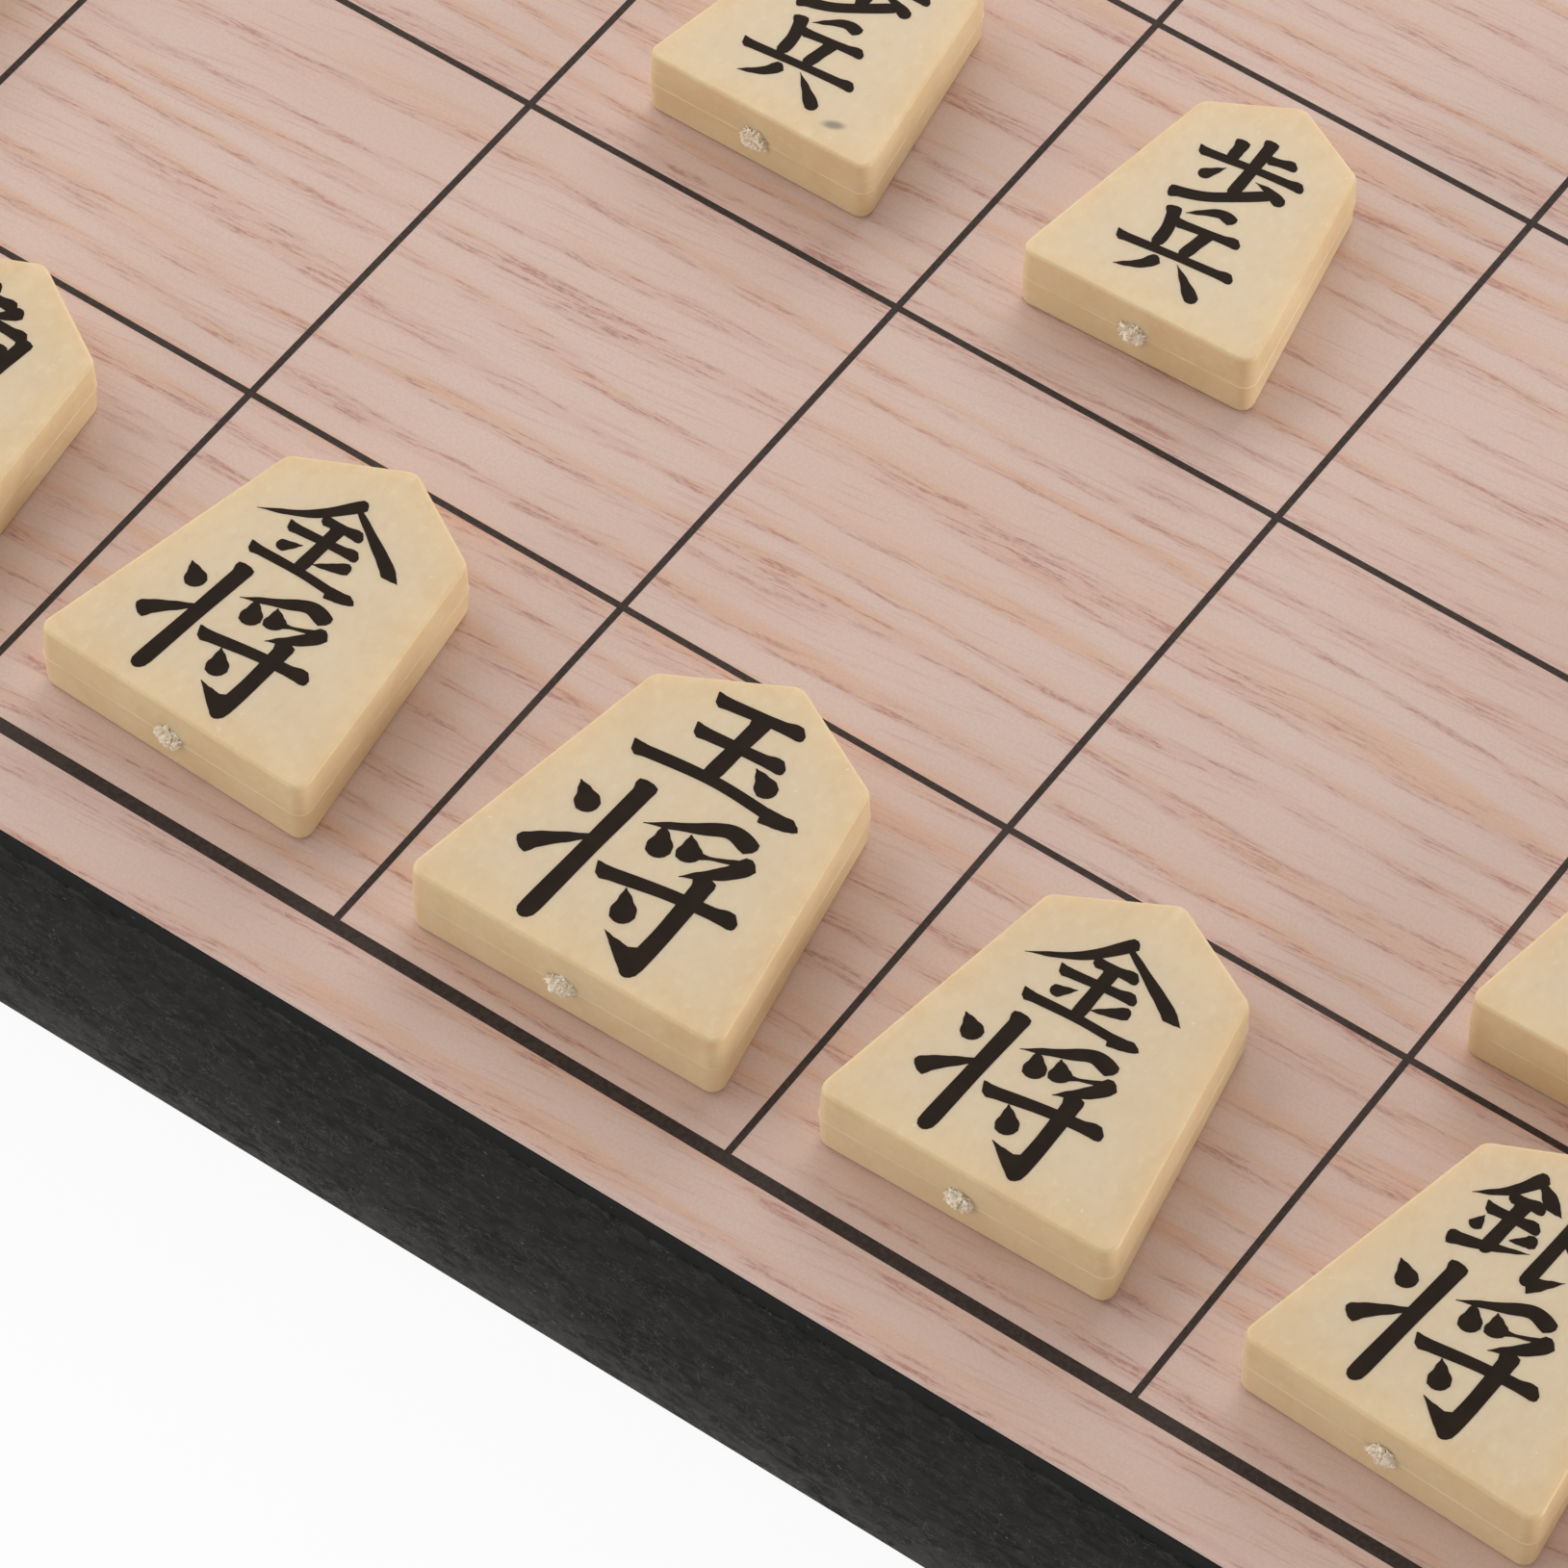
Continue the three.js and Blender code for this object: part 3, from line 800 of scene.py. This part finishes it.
# %% Model the eight kinds
def model_kind(kind):
    """The moulded body of one kind of piece."""
    width, length, thickness = (mm * MM for mm in SIZES[kind])
    piece = model_wedge(width, length, thickness)
    draw_in_halves(width, length, thickness)

    shoulder_y = shoulders(width, length)[1]
    roof_middle = (shoulder_y + length) / 2
    round_corners(math.pi / 2 + SIDE_LEAN, -length, shoulder_y / 2)
    round_corners(math.pi / 2 - SIDE_LEAN - ROOF_SLOPE, shoulder_y / 2, roof_middle)
    round_corners(2 * ROOF_SLOPE, roof_middle, 2 * length)

    def in_seam(vert, reach):
        return abs(vert.co.z - surface_height(vert.co.y, length, thickness) / 2) < reach

    pick("EDGE", lambda edge: all(in_seam(vert, DRAFT / 2) for vert in edge.verts))
    bpy.ops.mesh.bevel(offset=SEAM_WIDTH, segments=2, affect="EDGES")
    pick("VERT", lambda vert: in_seam(vert, SEAM_WIDTH / 2))
    bpy.ops.transform.shrink_fatten(value=SEAM_PROUD)
    for up, ease, segments in ((1, TOP_EASE, 4), (-1, FOOT_EASE, 3)):
        pick_flat(up)
        bpy.ops.mesh.bevel(offset=ease, segments=segments, affect="EDGES")
    pick_flat(1)
    bpy.ops.mesh.extrude_region_move()
    middle_y = length * MIDDLE_PLACE_SHARE
    middle_centre = (0, middle_y, surface_height(middle_y, length, thickness))
    bpy.ops.transform.resize(value=(MIDDLE_SHARE,) * 3, center_override=middle_centre)
    bpy.ops.object.mode_set(mode="OBJECT")
    shade(PIECE_SMOOTH)
    mark(piece, "seam", [vert.index for vert in piece.data.vertices
                         if in_seam(vert, SEAM_WIDTH / 2)])
    mark(piece, "top_middle", max(piece.data.polygons,
                            key=lambda face: face.center.z * face.area).vertices)
    return piece


kinds = {kind: model_kind(kind) for kind in SIZES}
for kind, piece in kinds.items():
    print(kind, len(piece.data.polygons), "faces, width", round(piece.dimensions.x / MM, 2))

# %% [markdown]
# ## Brush strokes
# The signs are the usual names of the pieces, which every set carries, drawn here with strokes
# of this lesson's own. A brush stroke is a line whose thickness changes along it, and not in the
# same way at its two edges: a line across starts with a slanted head and ends in a knob, one
# that falls to the left runs out thin, one that falls to the right swells and ends in a long
# point. The line on which a sign stands is pressed once more before it ends. A hook turns back
# out of a line down with a swelling on one side, and a link is the thin trail of a lifted brush.
#
# So each kind of stroke has a profile of three parts. The head and the tail give the reach of the
# left and right edges at a distance from that end, and the body gives them at a share of the
# whole way. Distances and reaches are in half thicknesses of a full stroke.

# %% The kinds of stroke
STROKES = {
    "across": (((0, 0.95, -0.8), (0.3, 0.95, 0.5), (0.9, 0.8, 1.0), (2.0, 0.72, 0.88)),
               ((0.55, 0.70, 0.76),),
               ((2.8, 0.75, 0.82), (1.4, 1.05, 0.9), (0.7, 0.95, 1.0), (0.2, 0.3, 0.9),
                (0, 0.0, 0.6))),
    "base": (((0, 0.95, -0.8), (0.3, 0.95, 0.5), (0.9, 0.85, 1.05), (2.0, 0.72, 0.88)),
             ((0.55, 0.66, 0.80),),
             ((4.4, 0.64, 0.85), (4.1, 0.7, 1.55), (2.5, 0.85, 1.2), (1.4, 1.1, 0.85),
              (0.4, 0.6, 0.35), (0, 0.1, -0.05))),
    "down": (((0, 0.3, 0.6), (0.25, 0.95, 1.25), (0.8, 1.1, 1.3), (1.6, 1.05, 1.0)),
             ((0.5, 0.95, 0.98),),
             ((1.8, 1.0, 1.05), (0.8, 0.9, 1.0), (0.25, 0.55, 0.7), (0, 0.15, 0.25))),
    "left": (((0, 0.1, 0.5), (0.4, 0.95, 1.0), (1.2, 1.05, 1.05)),
             ((0.4, 0.85, 0.8), (0.75, 0.5, 0.45)), ((0, 0.05, 0.05),)),
    "right": (((0, 0.35, 0.45),), ((0.25, 0.6, 0.65), (0.6, 0.85, 1.0)),
              ((3.4, 0.85, 1.25), (2.1, 0.7, 1.5), (1.2, 0.4, 0.85), (0, 0.05, -0.03))),
    "dot": (((0, 0.05, 0.08),),
            ((0.3, 0.75, 0.65), (0.6, 1.3, 1.3), (0.82, 1.2, 1.3), (0.95, 0.7, 0.8)),
            ((0, 0.2, 0.3),)),
    "drop": (((0, 0.05, 0.05),), ((0.4, 0.65, 0.6), (0.75, 1.05, 1.05)),
             ((0.7, 1.0, 1.05), (0.2, 0.6, 0.65), (0, 0.2, 0.25))),
    "tick": (((0, 0.4, 0.5), (0.25, 0.95, 1.2), (0.8, 1.15, 1.2), (1.7, 0.95, 1.0)),
             ((0.55, 0.65, 0.7), (0.8, 0.35, 0.4)), ((0, 0.04, 0.04),)),
    "flick": (((0, 1.25, 1.35),), ((0.3, 1.1, 1.0), (0.6, 0.65, 0.55)), ((0, 0.03, 0.03),)),
    "hook": (((0, 0.6, 1.3),),
             ((0.3, 0.5, 2.2), (0.41, 0.43, 2.2), (0.5, 0.37, 1.27), (0.62, 0.28, 0.95),
              (0.85, 0.1, 0.35)),
             ((0, 0.03, 0.03),)),
    "link": (((0, 0.4, 0.35),), ((0.3, 0.3, 0.25), (0.6, 0.2, 0.2)), ((0, 0.5, 0.6),)),
}
print("kinds of stroke:", len(STROKES))

# %% [markdown]
# A sign is a short list of strokes with two to four points each. A point is a place in the
# sign's own box, in hundredths of its width and height.

# %% The signs
SIGNS = {
    "jade": (
        ("across", (17, 87), (70, 96)), ("across", (19, 52), (74, 59)),
        ("down", (47, 92), (44, 14)), ("base", (-1, 9), (48, 17), (102, 12)),
        ("dot", (61, 47), (78, 29)),
    ),
    "crown": (
        ("across", (13, 88), (84, 96)), ("across", (19, 52), (77, 58)),
        ("down", (48, 93), (46, 14)), ("base", (-1, 9), (48, 15), (102, 12)),
    ),
    "general": (
        ("dot", (4, 81), (17, 68)), ("down", (29, 98), (27, 50), (25, 1)),
        ("tick", (2, 34), (9, 43), (28, 60)),
        ("left", (84, 92), (71, 96), (57, 88), (38, 77)), ("dot", (46, 82), (53, 64)),
        ("dot", (58, 84), (65, 70)), ("link", (82, 83), (74, 79), (65, 75)),
        ("left", (88, 87), (81, 75), (66, 61)),
        ("across", (35, 43), (68, 50), (100, 54)), ("down", (77, 68), (78, 30), (77, 0)),
        ("hook", (77, 3), (67, 10), (57, 17)), ("dot", (52, 42), (61, 24)),
    ),
    "gold": (
        ("left", (50, 98), (28, 63), (-1, 40)), ("right", (46, 91), (74, 68), (101, 47)),
        ("across", (34, 64), (64, 67)), ("across", (21, 42), (71, 49)),
        ("down", (48, 67), (48, 7)), ("drop", (39, 32), (26, 19)),
        ("left", (73, 36), (62, 28), (52, 21)), ("base", (13, 6), (50, 9), (91, 8)),
    ),
    "silver": (
        ("left", (25, 98), (14, 70), (-2, 50)), ("right", (21, 92), (32, 84), (45, 72)),
        ("across", (14, 65), (36, 70)), ("across", (8, 46), (41, 52)),
        ("down", (25, 68), (24, 8)), ("drop", (12, 38), (11, 22)),
        ("left", (44, 42), (38, 36), (31, 30)), ("tick", (3, 5), (20, 13), (45, 29)),
        ("across", (53, 90), (86, 94)), ("down", (86, 95), (84, 52)),
        ("across", (56, 74), (83, 76)), ("across", (56, 54), (83, 56)),
        ("down", (54, 94), (53, 2)), ("flick", (54, 4), (60, 10), (70, 24)),
        ("left", (94, 46), (86, 38), (75, 33)), ("right", (62, 54), (78, 26), (103, 6)),
    ),
    "flying": (
        ("across", (12, 91), (58, 94)), ("right", (57, 95), (63, 74), (88, 65)),
        ("flick", (86, 65), (90, 71), (91, 82)), ("left", (90, 94), (81, 88), (71, 85)),
        ("dot", (71, 83), (83, 75)), ("left", (38, 84), (25, 72), (7, 65)),
        ("across", (1, 50), (54, 55)), ("left", (21, 73), (20, 40), (3, 6)),
        ("down", (39, 77), (39, 0)), ("across", (57, 56), (70, 58)),
        ("right", (66, 58), (68, 20), (93, 7)), ("flick", (91, 7), (96, 13), (97, 28)),
        ("left", (89, 54), (81, 47), (72, 44)), ("dot", (72, 42), (84, 32)),
    ),
    "chariot": (
        ("across", (20, 89), (81, 92)), ("down", (23, 76), (26, 36)),
        ("across", (22, 75), (78, 77)), ("down", (79, 78), (75, 36)),
        ("across", (26, 56), (75, 58)), ("across", (26, 37), (75, 38)),
        ("across", (0, 17), (50, 20), (100, 22)), ("down", (50, 100), (50, 50), (50, -1)),
    ),
    "angle": (
        ("left", (42, 100), (31, 84), (11, 70)), ("across", (34, 87), (62, 89)),
        ("left", (67, 90), (59, 79), (49, 70)), ("left", (22, 71), (21, 34), (2, 0)),
        ("across", (21, 68), (83, 70)), ("down", (84, 71), (83, 4)),
        ("hook", (84, 4), (75, 9), (65, 16)), ("across", (24, 49), (81, 50)),
        ("across", (22, 29), (81, 30)), ("down", (52, 69), (52, 30)),
    ),
    "going": (
        ("left", (31, 100), (20, 84), (2, 73)), ("left", (34, 74), (21, 54), (0, 38)),
        ("down", (20, 55), (20, 0)), ("across", (46, 83), (92, 86)),
        ("across", (38, 56), (101, 59)), ("down", (73, 57), (73, 3)),
        ("hook", (73, 3), (64, 9), (54, 16)),
    ),
    "laurel": (
        ("across", (0, 69), (44, 72)), ("down", (23, 100), (22, 0)),
        ("left", (23, 67), (14, 46), (0, 31)), ("dot", (28, 57), (41, 44)),
        ("across", (54, 85), (92, 87)), ("down", (73, 100), (72, 62)),
        ("across", (47, 60), (101, 63)), ("across", (54, 36), (94, 38)),
        ("down", (73, 58), (72, 8)), ("across", (43, 5), (102, 8)),
    ),
    "horse": (
        ("down", (25, 94), (23, 36)), ("across", (25, 92), (80, 94)),
        ("down", (51, 93), (50, 39)), ("across", (25, 74), (78, 76)),
        ("across", (25, 56), (78, 58)), ("across", (22, 37), (86, 40)),
        ("down", (86, 41), (82, 4)), ("hook", (82, 4), (74, 8), (65, 15)),
        ("dot", (11, 27), (3, 9)), ("dot", (27, 26), (31, 11)),
        ("dot", (43, 26), (47, 11)), ("dot", (58, 26), (63, 12)),
    ),
    "incense": (
        ("left", (69, 100), (54, 93), (33, 90)), ("across", (2, 77), (98, 80)),
        ("down", (50, 93), (50, 48)), ("left", (49, 76), (32, 56), (1, 43)),
        ("right", (51, 76), (68, 56), (101, 44)), ("down", (29, 40), (30, 0)),
        ("across", (29, 38), (72, 40)), ("down", (73, 41), (71, 0)),
        ("across", (31, 21), (71, 22)), ("across", (31, 4), (71, 5)),
    ),
    "step": (
        ("down", (50, 100), (51, 60), (51, 24)), ("across", (53, 79), (83, 85)),
        ("down", (28, 87), (29, 60)), ("across", (-2, 56), (50, 62), (101, 66)),
        ("drop", (31, 50), (15, 29)), ("drop", (61, 50), (78, 47), (95, 39)),
        ("down", (2, 0), (36, 12), (82, 45)),
    ),
    "soldier": (
        ("left", (70, 95), (55, 98), (33, 83)), ("down", (23, 85), (30, 60), (31, 38)),
        ("across", (30, 70), (86, 77)), ("down", (60, 75), (54, 39)),
        ("across", (-1, 32), (50, 37), (100, 41)), ("left", (41, 28), (32, 14), (14, 2)),
        ("drop", (56, 30), (72, 15), (87, 1)),
    ),
}

# Upper and lower sign of each kind: its name, its box in millimetres (left, right, bottom and
# top, from the middle of the piece), and half the thickness of a full stroke.
FACES = {
    "king": (("jade", -6.0, 6.1, 2.3, 10.2, 0.60), ("general", -7.6, 7.4, -12.2, 1.5, 0.65)),
    "far_king": (("crown", -6.0, 6.0, 2.4, 10.0, 0.60), ("general", -7.6, 7.4, -12.2, 1.5, 0.65)),
    "gold": (("gold", -6.0, 4.8, 0.6, 8.5, 0.47), ("general", -7.0, 5.5, -11.3, -0.1, 0.58)),
    "silver": (("silver", -5.6, 5.8, 0.9, 8.8, 0.48), ("general", -6.9, 5.8, -11.1, 0.3, 0.57)),
    "rook": (("flying", -5.8, 5.8, 1.0, 9.4, 0.48), ("chariot", -5.9, 5.9, -11.4, -0.4, 0.59)),
    "bishop": (("angle", -5.3, 5.3, 1.0, 9.6, 0.52), ("going", -6.0, 6.0, -11.4, -0.4, 0.60)),
    "knight": (("laurel", -5.0, 5.0, 0.4, 8.2, 0.46), ("horse", -5.2, 5.2, -10.4, -0.8, 0.48)),
    "lance": (("incense", -4.9, 4.9, 0.2, 8.0, 0.44), ("chariot", -4.7, 4.7, -10.2, -0.8, 0.49)),
    "pawn": (("step", -3.8, 3.7, -0.7, 6.9, 0.45), ("soldier", -4.4, 4.1, -8.5, -0.5, 0.46)),
}
print("signs:", len(SIGNS), "strokes:", sum(len(strokes) for strokes in SIGNS.values()))

# %% [markdown]
# A stroke's spine passes smoothly through its points. Where a stroke is too short for the head
# and the tail of its kind, both are squeezed. The reaches are then eased from one key to the
# next, in small steps, and laid off square to the spine.

# %% The two edges of a stroke
STROKE_STEP = 0.2 * MM
SPINE_POINTS = 60
MOST_FOR_ENDS = 0.9
ROUNDING = 1e-12


def through(points, share):
    """A place on the smooth line through the points, at a share of their count."""
    along = share * (len(points) - 1)
    index = min(int(along), len(points) - 2)
    t = along - index
    before = points[max(index - 1, 0)]
    start, end = points[index], points[index + 1]
    after = points[min(index + 2, len(points) - 1)]
    return 0.5 * (2 * start + (end - before) * t
                  + (2 * before - 5 * start + 4 * end - after) * t * t
                  + (3 * start - before - 3 * end + after) * t ** 3)


def reaches(kind, length, weight):
    """How far both edges reach from the spine, as (distance, left, right), finely stepped."""
    head, body, tail = STROKES[kind]
    ends = (head[-1][0] + tail[0][0]) * weight
    squeeze = min(1, MOST_FOR_ENDS * length / (ends or length))
    keys = [(from_start * weight * squeeze, left, right) for from_start, left, right in head]
    end = length - tail[0][0] * weight * squeeze
    keys += [(share * length, left, right) for share, left, right in body
             if keys[-1][0] < share * length < end]
    keys += [(length - from_end * weight * squeeze, left, right)
             for from_end, left, right in tail]
    stepped = []
    for (near, left, right), (far, next_left, next_right) in zip(keys, keys[1:]):
        steps = max(2, round((far - near) / STROKE_STEP))
        for step in range(steps):
            t = step / steps
            ease = t * t * (3 - 2 * t)
            stepped.append((near + (far - near) * t, left + (next_left - left) * ease,
                            right + (next_right - right) * ease))
    return stepped + [keys[-1]]


def stroke_edges(stroke, box, weight):
    """The left and right edge points of one stroke, in pairs."""
    kind, *shares = stroke
    left, right, bottom, top = box
    points = [Vector((left + (right - left) * x / 100, bottom + (top - bottom) * y / 100))
              for x, y in shares]
    spine = [through(points, i / SPINE_POINTS) for i in range(SPINE_POINTS + 1)]
    travel = [0]
    for a, b in zip(spine, spine[1:]):
        travel.append(travel[-1] + (b - a).length)
    pairs = []
    for distance, to_left, to_right in reaches(kind, travel[-1], weight):
        passed = [i for i in range(SPINE_POINTS) if travel[i] <= distance + ROUNDING]
        index = passed[-1] if passed else 0
        place = spine[index].lerp(spine[index + 1], (distance - travel[index])
                                  / (travel[index + 1] - travel[index]))
        ahead = (spine[min(index + 2, SPINE_POINTS)] - spine[max(index - 1, 0)]).normalized()
        side = Vector((-ahead.y, ahead.x))
        pairs.append((place + side * to_left * weight, place - side * to_right * weight))
    return pairs


print("steps on a spine:", SPINE_POINTS, "step along an edge in mm:", round(STROKE_STEP / MM, 1))

# %% [markdown]
# A stroke is modelled as a plane with one row of cells. Its points are moved to the two edges of
# the stroke, pair by pair along the way, and the row is extruded down into the plastic, so that
# the ink is a thin closed solid. Each stroke lies a hair higher than the one before it, so no
# two faces share a plane.

# %% Draw a sign as flat strokes of ink
INK_PROUD = 0.012 * MM
INK_DEPTH = 0.03 * MM
INK_LIFT = 0.0005 * MM


def model_stroke(pairs, length, thickness, lift):
    """One stroke as a strip of cells on the sloping top of a piece on the origin."""
    start_clear()
    bpy.ops.mesh.primitive_grid_add(x_subdivisions=1, y_subdivisions=len(pairs) - 1, size=1)
    strip = bpy.context.object
    for index, (left, right) in enumerate(pairs):
        for vert, edge in zip(strip.data.vertices[2 * index:2 * index + 2], (left, right)):
            y = edge.y + length / 2
            vert.co = (edge.x, y, surface_height(y, length, thickness) + INK_PROUD + lift)
    return strip


def model_face(kind):
    """The ink of both signs of one kind, flat on its sloping top, for a piece on the origin."""
    length, thickness = (mm * MM for mm in SIZES[kind.split("_")[-1]][1:])
    strips = []
    for sign, *box_mm, weight in FACES[kind]:
        for stroke in SIGNS[sign]:
            pairs = stroke_edges(stroke, [mm * MM for mm in box_mm], weight * MM)
            strips.append(model_stroke(pairs, length, thickness, len(strips) * INK_LIFT))
    ink = only(strips[0])
    for strip in strips:
        strip.select_set(True)
    bpy.ops.object.join()
    bpy.ops.object.mode_set(mode="EDIT")
    thicken_down(INK_DEPTH + INK_PROUD)
    return ink


faces = {kind: model_face(kind) for kind in FACES}
print({kind: len(ink.data.polygons) for kind, ink in faces.items()})

# %% [markdown]
# ## The torn gate
# Where each piece was twisted off its runner, the middle of the base face keeps a small torn
# scar, whiter than the rest. It is a small ball, pressed flat against the face. Its points are
# jolted, smoothed a little and jolted again more finely, with other random moves on each piece.

# %% Model a gate scar
GATE_SIZE = Vector((0.95, 0.36, 0.75)) * MM
GATE_ROUGHNESS = 0.30 * MM
GATE_SMOOTHING = 0.4
FINER_SEED = 50


def model_gate(kind, seed):
    """A ragged scar in the middle of the base face of a piece on the origin."""
    thickness = SIZES[kind][2] * MM
    start_clear()
    bpy.ops.mesh.primitive_ico_sphere_add(subdivisions=4, radius=1,
                                          location=(0, 0, thickness / 2))
    gate = fit(GATE_SIZE)
    edit_all()
    bpy.ops.transform.vertex_random(offset=GATE_ROUGHNESS, uniform=0.7, normal=0.6, seed=seed)
    bpy.ops.mesh.vertices_smooth(factor=GATE_SMOOTHING, repeat=1)
    bpy.ops.transform.vertex_random(offset=GATE_ROUGHNESS / 2, uniform=0.4, normal=0.8,
                                    seed=seed + FINER_SEED)
    bpy.ops.object.mode_set(mode="OBJECT")
    bpy.ops.object.shade_flat()
    gate.data.materials.append(torn_plastic)
    return gate


print("gate scar ready")

# %% [markdown]
# ## Forty pieces on the board
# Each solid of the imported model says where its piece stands. The eight lowest points furthest
# from the middle are the two rounded corners of the base, so their middle is behind the piece
# and the line from there through the middle of the ring points the way the piece does.

# %% Place a copy of its kind over each solid
BASE_CORNER_POINTS = 8
SAME_PLACE_DIGITS = 7


def stance(node):
    """Where a piece stands: its origin, the middle of its base edge, with its turn."""
    points = [vert.co for vert in nodes[node].data.vertices]
    floor = min(point.z for point in points)
    ring = {tuple(round(side, SAME_PLACE_DIGITS) for side in point.xy)
            for point in points if point.z - floor < DRAFT / 2}
    ring = [Vector(point) for point in sorted(ring)]
    centre = sum(ring, Vector((0, 0))) / len(ring)
    corners = sorted(ring, key=lambda p: -(p - centre).length)[:BASE_CORNER_POINTS]
    behind = sum(corners, Vector((0, 0))) / len(corners)
    ahead = (centre - behind).normalized()
    reach = min((p.xy - centre).dot(ahead) for p in points)
    origin = centre + ahead * reach
    return Matrix(((ahead.y, ahead.x, 0, origin.x), (-ahead.x, ahead.y, 0, origin.y),
                   (0, 0, 1, floor), (0, 0, 0, 1)))


def copy_of(model, name, place):
    """A copy with its own mesh, put in place in its mesh."""
    twin = bpy.data.objects.new(name, model.data.copy())
    bpy.context.scene.collection.objects.link(twin)
    twin.data.transform(place)
    return twin


piece_nodes = [n for n in sorted(nodes) if n.split("_")[0] in ("near", "far")
               and n.split("_")[1] in SIZES]
for seed, node in enumerate(piece_nodes):
    player, kind = node.split("_")[:2]
    place = stance(node)
    body = nodes[node]["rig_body"]
    gate = model_gate(kind, seed)
    gate.data.transform(place)
    piece = copy_of(kinds[kind], node + "_wedge", place)
    piece.data.materials.append(piece_plastic)
    only(piece)
    gate.select_set(True)
    bpy.ops.object.join()
    finish_piece(piece, node + "_wedge", None, body, "piece_plastic", node)
    face = "far_king" if (player, kind) == ("far", "king") else kind
    ink = copy_of(faces[face], node + "_signs", place)
    finish_piece(ink, node + "_signs", stamped_ink, body, "piece_ink")

start_clear()
for model in (*kinds.values(), *faces.values()):
    bpy.data.objects.remove(model)
print("pieces placed:", len(piece_nodes))

# %% [markdown]
# ## The floor
# The board stands on a plain white floor. The photograph's ground is nearly pure white, which a
# lit floor doesn't reach, so the floor glows, but only for rays from the camera and reflections.
# The glow leaves a little of the lit floor, so that a faint shadow stays.

# %% A white floor that looks white
FLOOR_SIZE = 8
FLOOR_GLOW_SHARE = 0.94
WHITE_LIGHT = {"Color": (1, 1, 1, 1), "Strength": 1.0}


def looked_at(tree):
    """1 for rays from the camera, in reflections and through clear things, and else 0."""
    rays = add_node(tree, "LightPath")
    share = maths("MAXIMUM", rays.outputs["Is Camera Ray"], rays.outputs["Is Glossy Ray"])
    return maths("MAXIMUM", share, rays.outputs["Is Transmission Ray"])


def show_instead(tree, share, lit, shown, output):
    """Mixes what lights the scene with what is shown, and links it to the tree's output."""
    both = add_node(tree, "MixShader", {0: share, 1: lit.outputs[0], 2: shown.outputs[0]})
    tree.links.new(both.outputs[0], tree.nodes[output].inputs["Surface"])


floor_white, shader, place = new_finish("floor_white", "#F7F6F4", 0.9, 0.1)
feed(shader, "Base Color", mix(between(noise(place, 90), 0.3, 0.7), "#F6F5F3", "#F8F8F7"))
tree = floor_white.node_tree
glow = add_node(tree, "Emission", WHITE_LIGHT)
share = times(looked_at(tree), FLOOR_GLOW_SHARE)
show_instead(tree, share, shader, glow, "Material Output")
start_clear()
bpy.ops.mesh.primitive_plane_add(size=FLOOR_SIZE)
floor = bpy.context.object
floor.name = "floor"
floor.data.materials.append(floor_white)
print("floor:", FLOOR_SIZE, "m wide")

# %% [markdown]
# ## The light
# The light is that of a small studio. A large soft lamp high on the left makes the tops bright
# and throws soft shadows to the right, and a smaller one hangs behind the board. Three low lamps
# reach the upright faces, from the right, the near left and the near right. A dim even room
# fills the shadows, and rays from the camera and reflections see it as plain white.

# %% Lamps and room
ROOM_STRENGTH = 0.34
LAMPS = (  # name, place in metres, size in metres, power in watts
    ("key_lamp", (-0.80, 0.02, 0.75), 0.70, 3.95),
    ("back_lamp", (-0.15, 0.45, 0.40), 0.50, 1.8),
    ("side_lamp", (0.80, 0.30, 0.11), 0.40, 5.0),
    ("left_lamp", (-0.50, -0.50, 0.16), 0.40, 1.34),
    ("near_lamp", (0.55, -0.60, 0.12), 0.40, 0.83),
)

for name, lamp_place, size, power in LAMPS:
    bpy.ops.object.light_add(type="AREA", location=lamp_place)
    lamp = bpy.context.object
    lamp.name = name
    lamp.data.energy = power
    lamp.data.size = size
    lamp.rotation_euler = (-Vector(lamp_place)).to_track_quat("-Z", "Y").to_euler()

world = bpy.data.worlds.new("room")
world.use_nodes = True
bpy.context.scene.world = world
tree = world.node_tree
room = tree.nodes["Background"]
room.inputs["Color"].default_value = WHITE_LIGHT["Color"]
room.inputs["Strength"].default_value = ROOM_STRENGTH
white = add_node(tree, "Background", WHITE_LIGHT)
show_instead(tree, looked_at(tree), room, white, "World Output")
print("lamps:", [lamp[0] for lamp in LAMPS])
